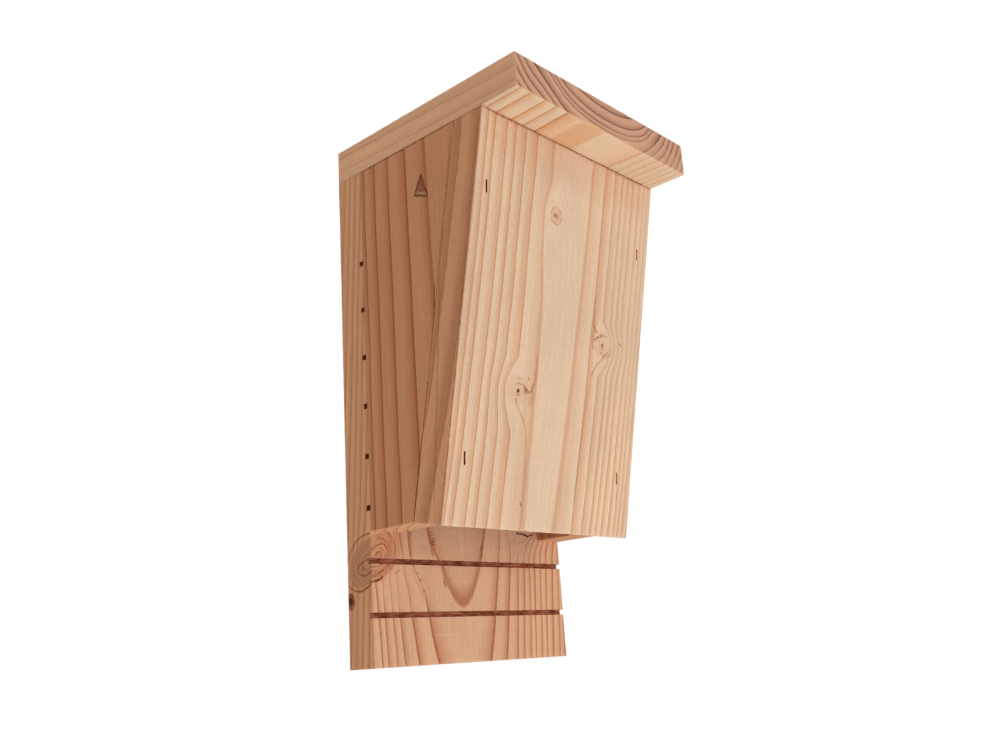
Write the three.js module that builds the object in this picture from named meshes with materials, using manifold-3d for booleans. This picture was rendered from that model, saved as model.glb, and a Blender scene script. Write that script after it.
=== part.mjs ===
// A wall-hung bat box of five planed softwood boards, stapled together.
//
// The back board runs on below the chamber as a landing, and saw kerfs across its face give the
// bats a foothold all the way up. Two tapered side panels stand on that face. The front board leans
// out over their sloping edges, so that the chamber is open at the bottom and deepest under the
// roof. The roof lies level and flush on the panels and the back board, and overhangs the front.
//
// Millimetres. +X is right as seen from the front, the box faces -Y, +Z is up. The origin is the
// centre of the back board's rear face, which lies against the wall.
import * as THREE from "three";
import { mergeVertices } from "three/addons/utils/BufferGeometryUtils.js";
import Module from "manifold-3d";

const wasm = await Module();
wasm.setup();

// Timber: every board is cut from one planed plank stock.
const boxWidth = 166;
const boardThickness = 21.5;
const landingHeight = 75;
const chamberHeight = 225;
const entranceDepth = 36;
const chamberTopDepth = 84;
const roofOverhang = 26.5;
const seatGap = 0.3;

// Saw kerfs across the back board's face, the lowest two of them on the landing.
const firstKerfHeight = 28.4;
const kerfPitch = 30;
const kerfHeight = 3.2;
const kerfDepth = 3;
const kerfsLeftOutAtTop = 2;

// Narrow-crown wire staples, driven a little below the surface.
const crownWidth = 7;
const legLength = 37;
const wireWidth = 1.25;
const wireThickness = 1;
const shoulderRadius = 1.1;
const pointLength = 1.8;
const sinkDepth = 1;
const slotClearance = 0.3;
const cutOverrun = 4;

// Rows of staples that come from the back and from the roof.
const backStaplesPerPanel = 3;
const backStapleInset = 30;
const roofStapleInset = 18;
const roofMiddleStapleInset = 45;

// The four staples in the front board are driven by hand, so no two stand alike.
// across: from the side panel's centre line towards the chamber, as a share of its thickness.
// along: up the side panel's sloping edge, as a share of that edge's length.
// tilt: how far the crown's upper end leans to the left, in degrees.
const frontStapleShares = [
  { name: "front_staple_upper_left", side: -1, across: -0.05, along: 0.824, tilt: 8 },
  { name: "front_staple_upper_right", side: 1, across: 0.01, along: 0.806, tilt: 5 },
  { name: "front_staple_lower_left", side: -1, across: 0.09, along: 0.159, tilt: 7 },
  { name: "front_staple_lower_right", side: 1, across: 0.2, along: 0.16, tilt: 6 },
];

// What follows from the sizes above.
const halfWidth = boxWidth / 2;
const halfBoard = boardThickness / 2;
const backHeight = landingHeight + chamberHeight;
const panelCentre = halfWidth - halfBoard;
const lean = Math.atan2(chamberTopDepth - entranceDepth, chamberHeight);
const slopingEdge = chamberHeight / Math.cos(lean);

// Finishes
const timber = (colour) =>
  new THREE.MeshStandardMaterial({ color: colour, roughness: 0.72, metalness: 0 });
const backTimber = timber(0xc99a6c);
const sideTimber = timber(0xb98a63);
const frontTimber = timber(0xdcb894);
const roofTimber = timber(0xcfa987);
const stapleSteel = new THREE.MeshStandardMaterial({
  color: 0x77716b,
  roughness: 0.48,
  metalness: 0.9,
});

// A profile drawn in (Y, Z), carried across X and centred on it.
function boardAcross(profile, width) {
  const geometry = new THREE.ExtrudeGeometry(profile, { depth: width, bevelEnabled: false });
  const profileToBox = new THREE.Matrix4().makeBasis(
    new THREE.Vector3(0, 1, 0),
    new THREE.Vector3(0, 0, 1),
    new THREE.Vector3(1, 0, 0),
  );
  return geometry.applyMatrix4(profileToBox).translate(-width / 2, 0, 0);
}

function outline(points) {
  return new THREE.Shape(points.map(([x, y]) => new THREE.Vector2(x, y)));
}

function namedMesh(name, geometry, material) {
  const mesh = new THREE.Mesh(geometry, material);
  mesh.name = name;
  return mesh;
}

// Heights of the kerf centres: an even pitch that stops short of the roof.
function kerfHeights() {
  const fitting = Math.round((backHeight - firstKerfHeight) / kerfPitch) + 1;
  const count = Math.max(fitting - kerfsLeftOutAtTop, 0);
  return Array.from({ length: count }, (_, i) => firstKerfHeight + i * kerfPitch);
}

// The back board's section: square at the wall, notched by the kerfs on its face.
function makeBackBoard() {
  const face = -boardThickness;
  const kerfFloor = face + kerfDepth;
  const points = [[face, 0], [0, 0], [0, backHeight], [face, backHeight]];
  for (const height of kerfHeights().reverse()) {
    const upper = height + kerfHeight / 2;
    const lower = height - kerfHeight / 2;
    points.push([face, upper], [kerfFloor, upper], [kerfFloor, lower], [face, lower]);
  }
  return namedMesh("back_board", boardAcross(outline(points), boxWidth), backTimber);
}

// A side panel is a tapered board: its rear edge is upright and its front edge slopes outwards.
function makeSidePanel(name, side) {
  const taper = outline([
    [0, 0],
    [0, chamberHeight],
    [-chamberTopDepth, chamberHeight],
    [-entranceDepth, 0],
  ]);
  const panel = namedMesh(name, boardAcross(taper, boardThickness), sideTimber);
  panel.position.set(side * panelCentre, -boardThickness, landingHeight);
  return panel;
}

// The front board, drawn along the sloping edges that it rests on: its foot is cut square, and its
// head is bevelled to lie level under the roof.
function makeFrontBoard() {
  const inner = -seatGap;
  const outer = inner - boardThickness;
  const headAt = (y) => (chamberHeight - seatGap - y * Math.sin(lean)) / Math.cos(lean);
  const section = outline([
    [inner, 0],
    [inner, headAt(inner)],
    [outer, headAt(outer)],
    [outer, 0],
  ]);
  return namedMesh("front_board", boardAcross(section, boxWidth), frontTimber);
}

// The roof reaches from the wall past the head of the front board by the overhang.
function makeRoofBoard() {
  const frontHead = boardThickness + chamberTopDepth + (boardThickness + seatGap) / Math.cos(lean);
  const depth = frontHead + roofOverhang;
  const section = outline([
    [0, 0],
    [0, boardThickness],
    [-depth, boardThickness],
    [-depth, 0],
  ]);
  const roof = namedMesh("roof_board", boardAcross(section, boxWidth), roofTimber);
  roof.position.z = backHeight;
  return roof;
}

// A staple lies in its own (X, Y): its crown along X, its legs down -Y, the wood's face at Y = 0.
// The shoulders are round outside, and each leg ends in a chisel point.
function stapleOutline() {
  const half = crownWidth / 2;
  const crownTop = -sinkDepth;
  const crownUnder = crownTop - wireThickness;
  const tip = crownTop - legLength;
  const radius = Math.min(shoulderRadius, half);
  const shape = new THREE.Shape();
  shape.moveTo(half - radius, crownTop);
  shape.absarc(radius - half, crownTop - radius, radius, Math.PI / 2, Math.PI, false);
  shape.lineTo(-half, tip + pointLength);
  shape.lineTo(wireThickness - half, tip);
  shape.lineTo(wireThickness - half, crownUnder);
  shape.lineTo(half - wireThickness, crownUnder);
  shape.lineTo(half - wireThickness, tip);
  shape.lineTo(half, tip + pointLength);
  shape.absarc(half - radius, crownTop - radius, radius, 0, Math.PI / 2, false);
  return shape;
}

// What a staple's slot takes out of the wood: the staple with its clearance, open to the face.
function slotOutline() {
  const outerX = crownWidth / 2 + slotClearance;
  const innerX = crownWidth / 2 - wireThickness - slotClearance;
  const crownUnder = -sinkDepth - wireThickness - slotClearance;
  const bottom = -sinkDepth - legLength - slotClearance;
  return outline([
    [outerX, cutOverrun],
    [-outerX, cutOverrun],
    [-outerX, bottom],
    [-innerX, bottom],
    [-innerX, crownUnder],
    [innerX, crownUnder],
    [innerX, bottom],
    [outerX, bottom],
  ]);
}

function wirePlate(shape, width) {
  const settings = { depth: width, bevelEnabled: false, curveSegments: 5 };
  return new THREE.ExtrudeGeometry(shape, settings).translate(0, 0, -width / 2);
}

const stapleGeometry = wirePlate(stapleOutline(), wireWidth);
const slotGeometry = wirePlate(slotOutline(), wireWidth + 2 * slotClearance);

const acrossBox = new THREE.Vector3(1, 0, 0);
const outOfWall = new THREE.Vector3(0, 1, 0);
const upward = new THREE.Vector3(0, 0, 1);

// A staple at a point of a board's face, its crown along one axis and its legs against the other.
function placeStaple(name, place, crown, outward) {
  const staple = namedMesh(name, stapleGeometry, stapleSteel);
  const turn = new THREE.Matrix4().makeBasis(crown, outward, crown.clone().cross(outward));
  staple.quaternion.setFromRotationMatrix(turn);
  staple.position.copy(place);
  return staple;
}

// Through the front board into the sloping edge of each side panel, in the front board's frame.
function makeFrontStaples() {
  const face = -seatGap - boardThickness;
  const outward = outOfWall.clone().negate();
  return frontStapleShares.map(({ name, side, across, along, tilt }) => {
    const x = side * (panelCentre - across * boardThickness);
    const place = new THREE.Vector3(x, face, along * slopingEdge);
    const crown = upward.clone().applyAxisAngle(outward, THREE.MathUtils.degToRad(tilt));
    return placeStaple(name, place, crown, outward);
  });
}

// Through the back board into the upright edge of each side panel.
function makeBackStaples() {
  const spacing = (chamberHeight - 2 * backStapleInset) / (backStaplesPerPanel - 1);
  const staples = [];
  for (const [word, side] of [["left", -1], ["right", 1]]) {
    for (let i = 0; i < backStaplesPerPanel; i += 1) {
      const z = landingHeight + backStapleInset + i * spacing;
      const place = new THREE.Vector3(side * panelCentre, 0, z);
      staples.push(placeStaple(`back_staple_${word}_${i + 1}`, place, upward, outOfWall));
    }
  }
  return staples;
}

// Through the roof into the head of each side panel and of the back board.
function makeRoofStaples() {
  const top = backHeight + boardThickness;
  const rearY = -boardThickness - roofStapleInset;
  const frontY = -boardThickness - chamberTopDepth + roofStapleInset;
  const staples = [];
  for (const [word, side] of [["left", -1], ["right", 1]]) {
    const x = side * panelCentre;
    const middleX = side * (halfWidth - roofMiddleStapleInset);
    const rear = new THREE.Vector3(x, rearY, top);
    const front = new THREE.Vector3(x, frontY, top);
    const middle = new THREE.Vector3(middleX, -halfBoard, top);
    staples.push(placeStaple(`roof_staple_${word}_rear`, rear, outOfWall, upward));
    staples.push(placeStaple(`roof_staple_${word}_front`, front, outOfWall, upward));
    staples.push(placeStaple(`roof_staple_${word}_middle`, middle, acrossBox, upward));
  }
  return staples;
}

// A closed solid from a geometry, moved by a matrix.
function toSolid(geometry, matrix) {
  const source = geometry.index ? geometry.toNonIndexed() : geometry;
  const bare = new THREE.BufferGeometry();
  bare.setAttribute("position", source.getAttribute("position").clone());
  const merged = mergeVertices(bare.applyMatrix4(matrix));
  const solidMesh = new wasm.Mesh({
    numProp: 3,
    vertProperties: merged.getAttribute("position").array,
    triVerts: new Uint32Array(merged.index.array),
  });
  return new wasm.Manifold(solidMesh);
}

function toGeometry(solid) {
  const { vertProperties, triVerts } = solid.getMesh();
  const geometry = new THREE.BufferGeometry();
  geometry.setAttribute("position", new THREE.BufferAttribute(vertProperties, 3));
  geometry.setIndex(new THREE.BufferAttribute(triVerts, 1));
  geometry.computeVertexNormals();
  return geometry;
}

// Cuts the slots of some staples out of a board, each slot where its staple stands in the box.
function cutSlots(board, staples) {
  const boxToBoard = board.matrixWorld.clone().invert();
  let solid = toSolid(board.geometry, new THREE.Matrix4());
  for (const staple of staples) {
    const slotToBoard = boxToBoard.clone().multiply(staple.matrixWorld);
    solid = solid.subtract(toSolid(slotGeometry, slotToBoard));
  }
  board.geometry = toGeometry(solid);
}

// Assembly
const back = makeBackBoard();
const leftPanel = makeSidePanel("left_side_panel", -1);
const rightPanel = makeSidePanel("right_side_panel", 1);
const roof = makeRoofBoard();
const front = makeFrontBoard();
const frontStaples = makeFrontStaples();
const backStaples = makeBackStaples();
const roofStaples = makeRoofStaples();

// The leaning front turns about the side panels' lower front corners.
const leaningFront = new THREE.Group();
leaningFront.position.set(0, -boardThickness - entranceDepth, landingHeight);
leaningFront.rotation.x = lean;
leaningFront.add(front, ...frontStaples);

const batBox = new THREE.Group();
const boxOnWall = new THREE.Group();
boxOnWall.position.z = -backHeight / 2;
boxOnWall.add(back, leftPanel, rightPanel, roof, leaningFront, ...backStaples, ...roofStaples);
batBox.add(boxOnWall);
batBox.updateMatrixWorld(true);

cutSlots(front, frontStaples);
cutSlots(back, [...backStaples, ...roofStaples]);
cutSlots(roof, roofStaples);
cutSlots(leftPanel, [...frontStaples, ...backStaples, ...roofStaples]);
cutSlots(rightPanel, [...frontStaples, ...backStaples, ...roofStaples]);

export default batBox;
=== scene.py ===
"""A wall-hung bat box: five planed softwood boards, saw kerfs, and narrow staples.

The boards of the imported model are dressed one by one. Sizes in the classes are millimetres, and the
meshes are metres. A board's own axes are: X across its face, Y into the board, Z along the grain.
"""

import logging
import math
from contextlib import contextmanager
from dataclasses import dataclass, field
from enum import Enum
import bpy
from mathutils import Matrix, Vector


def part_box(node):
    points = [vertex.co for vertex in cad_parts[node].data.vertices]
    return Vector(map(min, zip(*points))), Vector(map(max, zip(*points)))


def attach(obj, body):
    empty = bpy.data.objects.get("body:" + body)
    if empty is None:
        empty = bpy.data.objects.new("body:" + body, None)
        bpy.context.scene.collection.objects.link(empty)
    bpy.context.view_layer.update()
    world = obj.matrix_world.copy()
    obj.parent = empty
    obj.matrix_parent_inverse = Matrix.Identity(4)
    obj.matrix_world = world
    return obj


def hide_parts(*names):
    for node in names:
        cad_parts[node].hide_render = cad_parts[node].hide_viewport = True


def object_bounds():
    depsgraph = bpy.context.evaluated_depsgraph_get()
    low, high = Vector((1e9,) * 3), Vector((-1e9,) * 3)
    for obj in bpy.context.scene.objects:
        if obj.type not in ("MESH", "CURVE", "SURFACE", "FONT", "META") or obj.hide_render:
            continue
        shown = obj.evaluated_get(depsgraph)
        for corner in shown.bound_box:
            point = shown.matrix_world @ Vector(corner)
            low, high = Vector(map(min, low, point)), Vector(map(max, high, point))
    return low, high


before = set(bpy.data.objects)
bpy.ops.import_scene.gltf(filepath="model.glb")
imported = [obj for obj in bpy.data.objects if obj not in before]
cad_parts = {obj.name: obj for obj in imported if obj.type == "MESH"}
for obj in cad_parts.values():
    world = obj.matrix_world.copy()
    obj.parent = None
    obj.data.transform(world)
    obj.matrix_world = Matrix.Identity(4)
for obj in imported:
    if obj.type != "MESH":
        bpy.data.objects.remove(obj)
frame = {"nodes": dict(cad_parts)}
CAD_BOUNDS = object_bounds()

from types import SimpleNamespace
from typing import Callable, Iterator, Sequence

import bmesh
import bpy
from mathutils import Euler, Matrix, Vector

LOG = logging.getLogger("bat_box")
MM = 0.001  # a millimetre in Blender's metres
TOUCH = 0.05  # places nearer than this lie on one level, in millimetres
BRINK = 0.1  # places nearer to an edge than this lie on it, in millimetres
ALIGNED = 0.9  # an edge whose cosine with a direction is over this runs along it
SHARP = 0.6  # an edge that turns by more than this is an arris, in radians
MOST_CUTS = 99  # the most cuts in one edge
STRAY_SIZE = 0.011  # the size of the waves in a worn arris, in metres
STRAY_SHARE = 2.4  # how much further the waves stray than the fray
SINK_BEND = 44.0  # where a sinking pith starts to bend, in millimetres
WANDER = 1.2  # how far the growth lines wander, in millimetres
SMOOTH_ANGLE = math.radians(28)  # edges flatter than this are shaded smooth
SIDES = ("left", "right")
RIGHT, REAR, UP = (1.0, 0.0, 0.0), (0.0, 1.0, 0.0), (0.0, 0.0, 1.0)

Point = tuple[float, float, float]
Rgb = tuple[float, float, float]
Marks = tuple[tuple[float, float], ...]
Piece = bpy.types.Object
Group = bpy.types.NodeTree


class Growth(Enum):
    """Which side of a growth line the dark late wood lies on, seen from the middle of the face."""

    OUTWARD = 0.0
    INWARD = 1.0


class Kind(Enum):
    """The kinds of value that a node group takes and gives."""

    NUMBER = "NodeSocketFloat"
    VECTOR = "NodeSocketVector"
    COLOUR = "NodeSocketColor"


def linear(colour: Rgb) -> tuple[float, float, float, float]:
    """Turns a colour as the eye reads it into light.

    Args:
        colour: red, green and blue from 0 to 255.

    Returns:
        The same colour for a shader socket.
    """
    shares = [part / 255.0 for part in colour]
    light = [s / 12.92 if s <= 0.04045 else ((s + 0.055) / 1.055) ** 2.4 for s in shares]
    return light[0], light[1], light[2], 1.0


@dataclass(frozen=True)
class Layout:
    """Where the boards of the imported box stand, in millimetres."""

    half_width: float
    thickness: float
    foot: float
    head: float
    landing_top: float
    entrance_depth: float
    chamber_depth: float
    roof_front: float
    seat_gap: float

    @classmethod
    def measured(cls, nodes: dict[str, Piece]) -> "Layout":
        """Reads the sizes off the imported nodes.

        Args:
            nodes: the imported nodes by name.

        Returns:
            The layout of the box.
        """
        back_low, back_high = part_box("back_board")
        panel_low, panel_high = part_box("left_side_panel")
        panel = nodes["left_side_panel"].data
        foot_edge = [v.co.y for v in panel.vertices if v.co.z < panel_low.z + BRINK * MM]
        return cls(
            half_width=back_high.x / MM,
            thickness=-back_low.y / MM,
            foot=back_low.z / MM,
            head=back_high.z / MM,
            landing_top=panel_low.z / MM,
            entrance_depth=(back_low.y - min(foot_edge)) / MM,
            chamber_depth=(back_low.y - panel_low.y) / MM,
            roof_front=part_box("roof_board")[0].y / MM,
            seat_gap=(panel_high.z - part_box("front_board")[1].z) / MM,
        )

    @property
    def rise(self) -> float:
        """The chamber's height."""
        return self.head - self.landing_top

    @property
    def lean(self) -> float:
        """The front board's angle from upright, in radians."""
        return math.atan2(self.chamber_depth - self.entrance_depth, self.rise)

    @property
    def front_length(self) -> float:
        """The length of the front board's outer face along its slope."""
        depth = self.thickness + self.seat_gap
        return (self.rise - self.seat_gap + depth * math.sin(self.lean)) / math.cos(self.lean)


class Workshop:
    """Steps that shape a board, each done as by hand on the bench."""

    @staticmethod
    def take(piece: Piece) -> None:
        """Selects one piece alone and makes it the active one.

        Args:
            piece: the piece.
        """
        bpy.ops.object.select_all(action="DESELECT")
        piece.select_set(True)
        bpy.context.view_layer.objects.active = piece

    @staticmethod
    @contextmanager
    def editing(piece: Piece, mode: str = "EDGE") -> Iterator[None]:
        """Opens a piece in edit mode with all of it selected, and closes it again.

        Args:
            piece: the piece to shape.
            mode: what is selected, VERT or EDGE.

        Yields:
            Nothing; the piece is in edit mode meanwhile.
        """
        Workshop.take(piece)
        bpy.ops.object.mode_set(mode="EDIT")
        bpy.ops.mesh.select_mode(type=mode)
        bpy.ops.mesh.select_all(action="SELECT")
        try:
            yield
        finally:
            bpy.ops.object.mode_set(mode="OBJECT")

    @staticmethod
    def pick_edges(piece: Piece, wanted: Callable[[bmesh.types.BMEdge], bool]) -> None:
        """Selects the edges that a test wants, in edit mode.

        Args:
            piece: the piece in edit mode.
            wanted: says whether an edge is selected.
        """
        bpy.ops.mesh.select_all(action="DESELECT")
        shape = bmesh.from_edit_mesh(piece.data)
        for edge in [edge for edge in shape.edges if wanted(edge)]:
            edge.select_set(True)
        shape.select_flush_mode()
        bmesh.update_edit_mesh(piece.data)

    @staticmethod
    def block(name: str, low: Point, high: Point) -> Piece:
        """Saws a squared block between two corners.

        Args:
            name: the piece's name.
            low: its lowest corner, in millimetres.
            high: its highest corner, in millimetres.

        Returns:
            The block, with its place in its mesh.
        """
        first, last = Vector(low) * MM, Vector(high) * MM
        bpy.ops.object.select_all(action="DESELECT")
        bpy.ops.mesh.primitive_cube_add(size=1.0, location=(first + last) / 2, scale=last - first)
        piece = bpy.context.active_object
        piece.name = piece.data.name = name
        bpy.ops.object.transform_apply(location=True, rotation=True, scale=True)
        return piece

    @staticmethod
    def saw_off(piece: Piece, place: Point, normal: Point) -> None:
        """Cuts away what lies on one side of a plane and closes the cut.

        Args:
            piece: the piece to cut.
            place: a point on the plane, in millimetres.
            normal: the side that falls away.
        """
        with Workshop.editing(piece):
            place = Vector(place) * MM
            bpy.ops.mesh.bisect(plane_co=place, plane_no=normal, use_fill=True, clear_outer=True)

    @staticmethod
    def runs_along(edge: bmesh.types.BMEdge, direction: Point) -> bool:
        """Says whether an edge runs along a direction."""
        return abs((edge.verts[1].co - edge.verts[0].co).normalized().dot(Vector(direction))) > ALIGNED

    @staticmethod
    def divide(piece: Piece, axis: Point, spacing: float) -> None:
        """Divides every edge that runs along an axis into even steps.

        Args:
            piece: the piece to divide.
            axis: the direction of the edges.
            spacing: the longest step, in millimetres.
        """

        def wanted(edge: bmesh.types.BMEdge) -> bool:
            """Says whether an edge is divided."""
            return Workshop.runs_along(edge, axis)

        with Workshop.editing(piece):
            shape = bmesh.from_edit_mesh(piece.data)
            longest = max(edge.calc_length() for edge in shape.edges if wanted(edge))
            cuts = min(math.ceil(longest / (spacing * MM)) - 1, MOST_CUTS)
            if cuts > 0:
                Workshop.pick_edges(piece, wanted)
                bpy.ops.mesh.subdivide(number_cuts=cuts)

    @staticmethod
    def roughen(fray: float, seed: int) -> None:
        """Moves what is selected in edit mode a little, in millimetres."""
        bpy.ops.transform.vertex_random(offset=fray * MM, uniform=0.0, normal=0.0, seed=seed)

    @staticmethod
    def wear_arrises(piece: Piece, width: float, fray: float, seed: int) -> None:
        """Takes the sharpness off every arris and frays it a little.

        Args:
            piece: the piece to wear.
            width: how far the arris is taken down, in millimetres.
            fray: how far the worn edge strays, in millimetres.
            seed: the seed of the fraying.
        """
        with Workshop.editing(piece):
            Workshop.pick_edges(
                piece, lambda e: len(e.link_faces) == 2 and e.calc_face_angle() > SHARP
            )
            bpy.ops.mesh.bevel(
                offset=width * MM, offset_type="OFFSET", segments=2, profile=0.5, affect="EDGES"
            )
            Workshop.roughen(fray, seed)
            bpy.ops.object.vertex_group_assign_new()
        group = piece.vertex_groups[-1]
        group.name = "arris"
        pattern = bpy.data.textures.new(f"{piece.name}_arris", type="CLOUDS")
        pattern.cloud_type = "COLOR"
        pattern.noise_scale = STRAY_SIZE
        stray = piece.modifiers.new("arris_stray", "DISPLACE")
        stray.texture = pattern
        stray.texture_coords = "LOCAL"
        stray.direction = "RGB_TO_XYZ"
        stray.mid_level = 0.5
        stray.strength = STRAY_SHARE * fray * MM
        stray.vertex_group = "arris"
        Workshop.apply(piece, stray)
        piece.vertex_groups.remove(piece.vertex_groups["arris"])

    @staticmethod
    def apply(piece: Piece, modifier: bpy.types.Modifier) -> None:
        """Applies one modifier of a piece."""
        Workshop.take(piece)
        bpy.ops.object.modifier_apply(modifier=modifier.name)

    @staticmethod
    def place(piece: Piece, matrix: Matrix) -> None:
        """Sets a piece somewhere and takes its place into its mesh.

        Args:
            piece: the piece.
            matrix: where it goes.
        """
        piece.matrix_world = matrix
        Workshop.take(piece)
        bpy.ops.object.transform_apply(location=True, rotation=True, scale=True)

    @staticmethod
    def repeat(first: Piece, places: Sequence[Matrix], fray: float, seed: int) -> Piece:
        """Copies a piece to each place, roughens each copy in its own way and joins them.

        Args:
            first: the piece that is copied and then thrown away.
            places: where the copies go.
            fray: how far their corners stray, in millimetres.
            seed: the seed of the first copy; each next one has the next number.

        Returns:
            All the copies as one piece, with their places in its mesh.
        """
        copies = []
        for index, place in enumerate(places):
            twin = first.copy()
            twin.data = first.data.copy()
            twin.name = f"{first.name}_{index}"
            bpy.context.scene.collection.objects.link(twin)
            Workshop.place(twin, place)
            with Workshop.editing(twin, "VERT"):
                Workshop.roughen(fray, seed + index)
            copies.append(twin)
        bpy.data.objects.remove(first)
        bpy.ops.object.select_all(action="DESELECT")
        for twin in copies:
            twin.select_set(True)
        bpy.context.view_layer.objects.active = copies[0]
        bpy.ops.object.join()
        return bpy.context.active_object

    @staticmethod
    def cut_out(piece: Piece, cutter: Piece, walls: bpy.types.Material) -> None:
        """Takes a cutter's shape out of a piece and throws the cutter away.

        Args:
            piece: the piece that is cut.
            cutter: the shape that is taken out.
            walls: the material of the cut's walls.
        """
        cutter.data.materials.append(walls)
        cut = piece.modifiers.new("cut", "BOOLEAN")
        cut.operation = "DIFFERENCE"
        cut.solver = "EXACT"
        cut.material_mode = "TRANSFER"
        cut.object = cutter
        Workshop.apply(piece, cut)
        bpy.data.objects.remove(cutter)

    @staticmethod
    def finish(piece: Piece) -> None:
        """Shades the flat faces flat and the worn arrises smooth."""
        Workshop.take(piece)
        bpy.ops.object.shade_smooth_by_angle(angle=SMOOTH_ANGLE)


def sign(operation: str, turned: bool = False) -> Callable[["Signal", "Value"], "Signal"]:
    """Makes a sign of arithmetic for signals.

    Args:
        operation: the operation's name in Blender.
        turned: whether the signal stands second.

    Returns:
        The method that works on two values.
    """

    def work(self: "Signal", other: "Value") -> "Signal":
        """Works on two numbers, or on two vectors."""
        operate = self.nodes.vector if self.socket.type == "VECTOR" else self.nodes.math
        return operate(operation, *((other, self) if turned else (self, other)))

    return work


@dataclass(frozen=True, eq=False)
class Signal:
    """A node's output, which the plain signs of arithmetic work on."""

    nodes: "Nodes"
    socket: bpy.types.NodeSocket

    __add__, __radd__ = sign("ADD"), sign("ADD", True)
    __sub__, __rsub__ = sign("SUBTRACT"), sign("SUBTRACT", True)
    __mul__, __rmul__ = sign("MULTIPLY"), sign("MULTIPLY", True)
    __truediv__ = sign("DIVIDE")
    __gt__, __lt__ = sign("GREATER_THAN"), sign("LESS_THAN")

    def __abs__(self) -> "Signal":
        """Takes off the minus."""
        return self.nodes.math("ABSOLUTE", self)


Value = float | Sequence[float] | Signal


class Nodes:
    """Adds nodes to one tree and links them."""

    def __init__(self, tree: Group) -> None:
        """Starts on a tree."""
        self.tree = tree

    def add(self, kind: str, *values: Value, **settings: object) -> bpy.types.Node:
        """Adds one node.

        Args:
            kind: Blender's name for the node.
            values: what goes into its first inputs.
            settings: the node's own options.

        Returns:
            The new node.
        """
        node = self.tree.nodes.new(kind)
        node.location = (190 * (len(self.tree.nodes) % 14), -240 * (len(self.tree.nodes) // 14))
        for name, value in settings.items():
            setattr(node, name, value)
        for socket, value in zip(node.inputs, values):
            self.feed(socket, value)
        return node

    def feed(self, socket: bpy.types.NodeSocket, value: Value) -> None:
        """Links a socket to a signal, or sets it; a colour is written as the eye reads it.

        Args:
            socket: the input.
            value: what goes into it.
        """
        if isinstance(value, Signal):
            self.tree.links.new(value.socket, socket)
        else:
            socket.default_value = linear(value) if socket.type == "RGBA" else value

    def signal(self, socket: bpy.types.NodeSocket) -> Signal:
        """Wraps an output."""
        return Signal(self, socket)

    def math(self, operation: str, *values: Value, clamp: bool = False) -> Signal:
        """Works on numbers.

        Args:
            operation: the operation's name.
            values: one to three numbers.
            clamp: whether the result is kept from 0 to 1.

        Returns:
            The result.
        """
        node = self.add("ShaderNodeMath", *values, operation=operation, use_clamp=clamp)
        return self.signal(node.outputs[0])

    def higher(self, first: Value, second: Value) -> Signal:
        """Gives the higher of two numbers."""
        return self.math("MAXIMUM", first, second)

    def lower(self, first: Value, second: Value) -> Signal:
        """Gives the lower of two numbers."""
        return self.math("MINIMUM", first, second)

    def fused(self, value: Value, factor: Value, addend: Value) -> Signal:
        """Multiplies and adds in one node."""
        return self.math("MULTIPLY_ADD", value, factor, addend)

    def vector(self, operation: str, *values: Value) -> Signal:
        """Works on vectors.

        Args:
            operation: the operation's name.
            values: one or two vectors.

        Returns:
            The result, a number for lengths and dot products.
        """
        node = self.add("ShaderNodeVectorMath", *values, operation=operation)
        return self.signal(node.outputs[int(operation in ("DOT_PRODUCT", "LENGTH"))])

    def scale(self, vector: Value, factor: Value) -> Signal:
        """Multiplies a vector or a colour by a number.

        Args:
            vector: the vector or the colour.
            factor: the number.

        Returns:
            The product.
        """
        node = self.add("ShaderNodeVectorMath", vector, operation="SCALE")
        self.feed(node.inputs["Scale"], factor)
        return self.signal(node.outputs[0])

    def length(self, vector: Value) -> Signal:
        """Measures a vector."""
        return self.vector("LENGTH", vector)

    def dot(self, first: Value, second: Value) -> Signal:
        """Says how far one vector reaches along another."""
        return self.vector("DOT_PRODUCT", first, second)

    def split(self, vector: Value) -> list[Signal]:
        """Gives a vector's three parts."""
        return [self.signal(part) for part in self.add("ShaderNodeSeparateXYZ", vector).outputs]

    def gather(self, x: Value, y: Value, z: Value) -> Signal:
        """Makes a vector of three parts."""
        return self.signal(self.add("ShaderNodeCombineXYZ", x, y, z).outputs[0])

    def noise(
        self, point: Value, stretch: Point | float, detail: float = 2.0, roughness: float = 0.5
    ) -> Signal:
        """Soft random values from 0 to 1.

        Args:
            point: where, in millimetres.
            stretch: how many waves a millimetre along each axis, or along all three.
            detail: how many finer layers are added.
            roughness: how strong those are.

        Returns:
            The value there.
        """
        waves = (stretch,) * 3 if isinstance(stretch, float) else stretch
        node = self.add("ShaderNodeTexNoise", noise_dimensions="3D")
        given = {"Vector": self.vector("MULTIPLY", point, waves), "Scale": 1.0}
        for name, value in {**given, "Detail": detail, "Roughness": roughness}.items():
            self.feed(node.inputs[name], value)
        return self.signal(node.outputs[0])

    def chance(self, number: Value) -> Signal:
        """Gives a random value from 0 to 1 for each number.

        Args:
            number: the number.

        Returns:
            Its value.
        """
        node = self.add("ShaderNodeTexWhiteNoise", noise_dimensions="1D")
        self.feed(node.inputs["W"], number)
        return self.signal(node.outputs[0])

    def ease(
        self, value: Value, low: Value, high: Value, start: Value = 0.0, end: Value = 1.0
    ) -> Signal:
        """Goes smoothly from one value to another while the input goes from low to high.

        Args:
            value: the input.
            low: where the change starts.
            high: where it ends.
            start: the result up to low.
            end: the result from high on.

        Returns:
            The eased value.
        """
        values = (value, low, high, start, end)
        node = self.add("ShaderNodeMapRange", *values, interpolation_type="SMOOTHSTEP")
        return self.signal(node.outputs[0])

    def fade(self, value: Value, low: Value, high: Value) -> Signal:
        """Goes smoothly from 1 to 0 while the input goes from low to high."""
        return self.ease(value, low, high, 1.0, 0.0)

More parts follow.
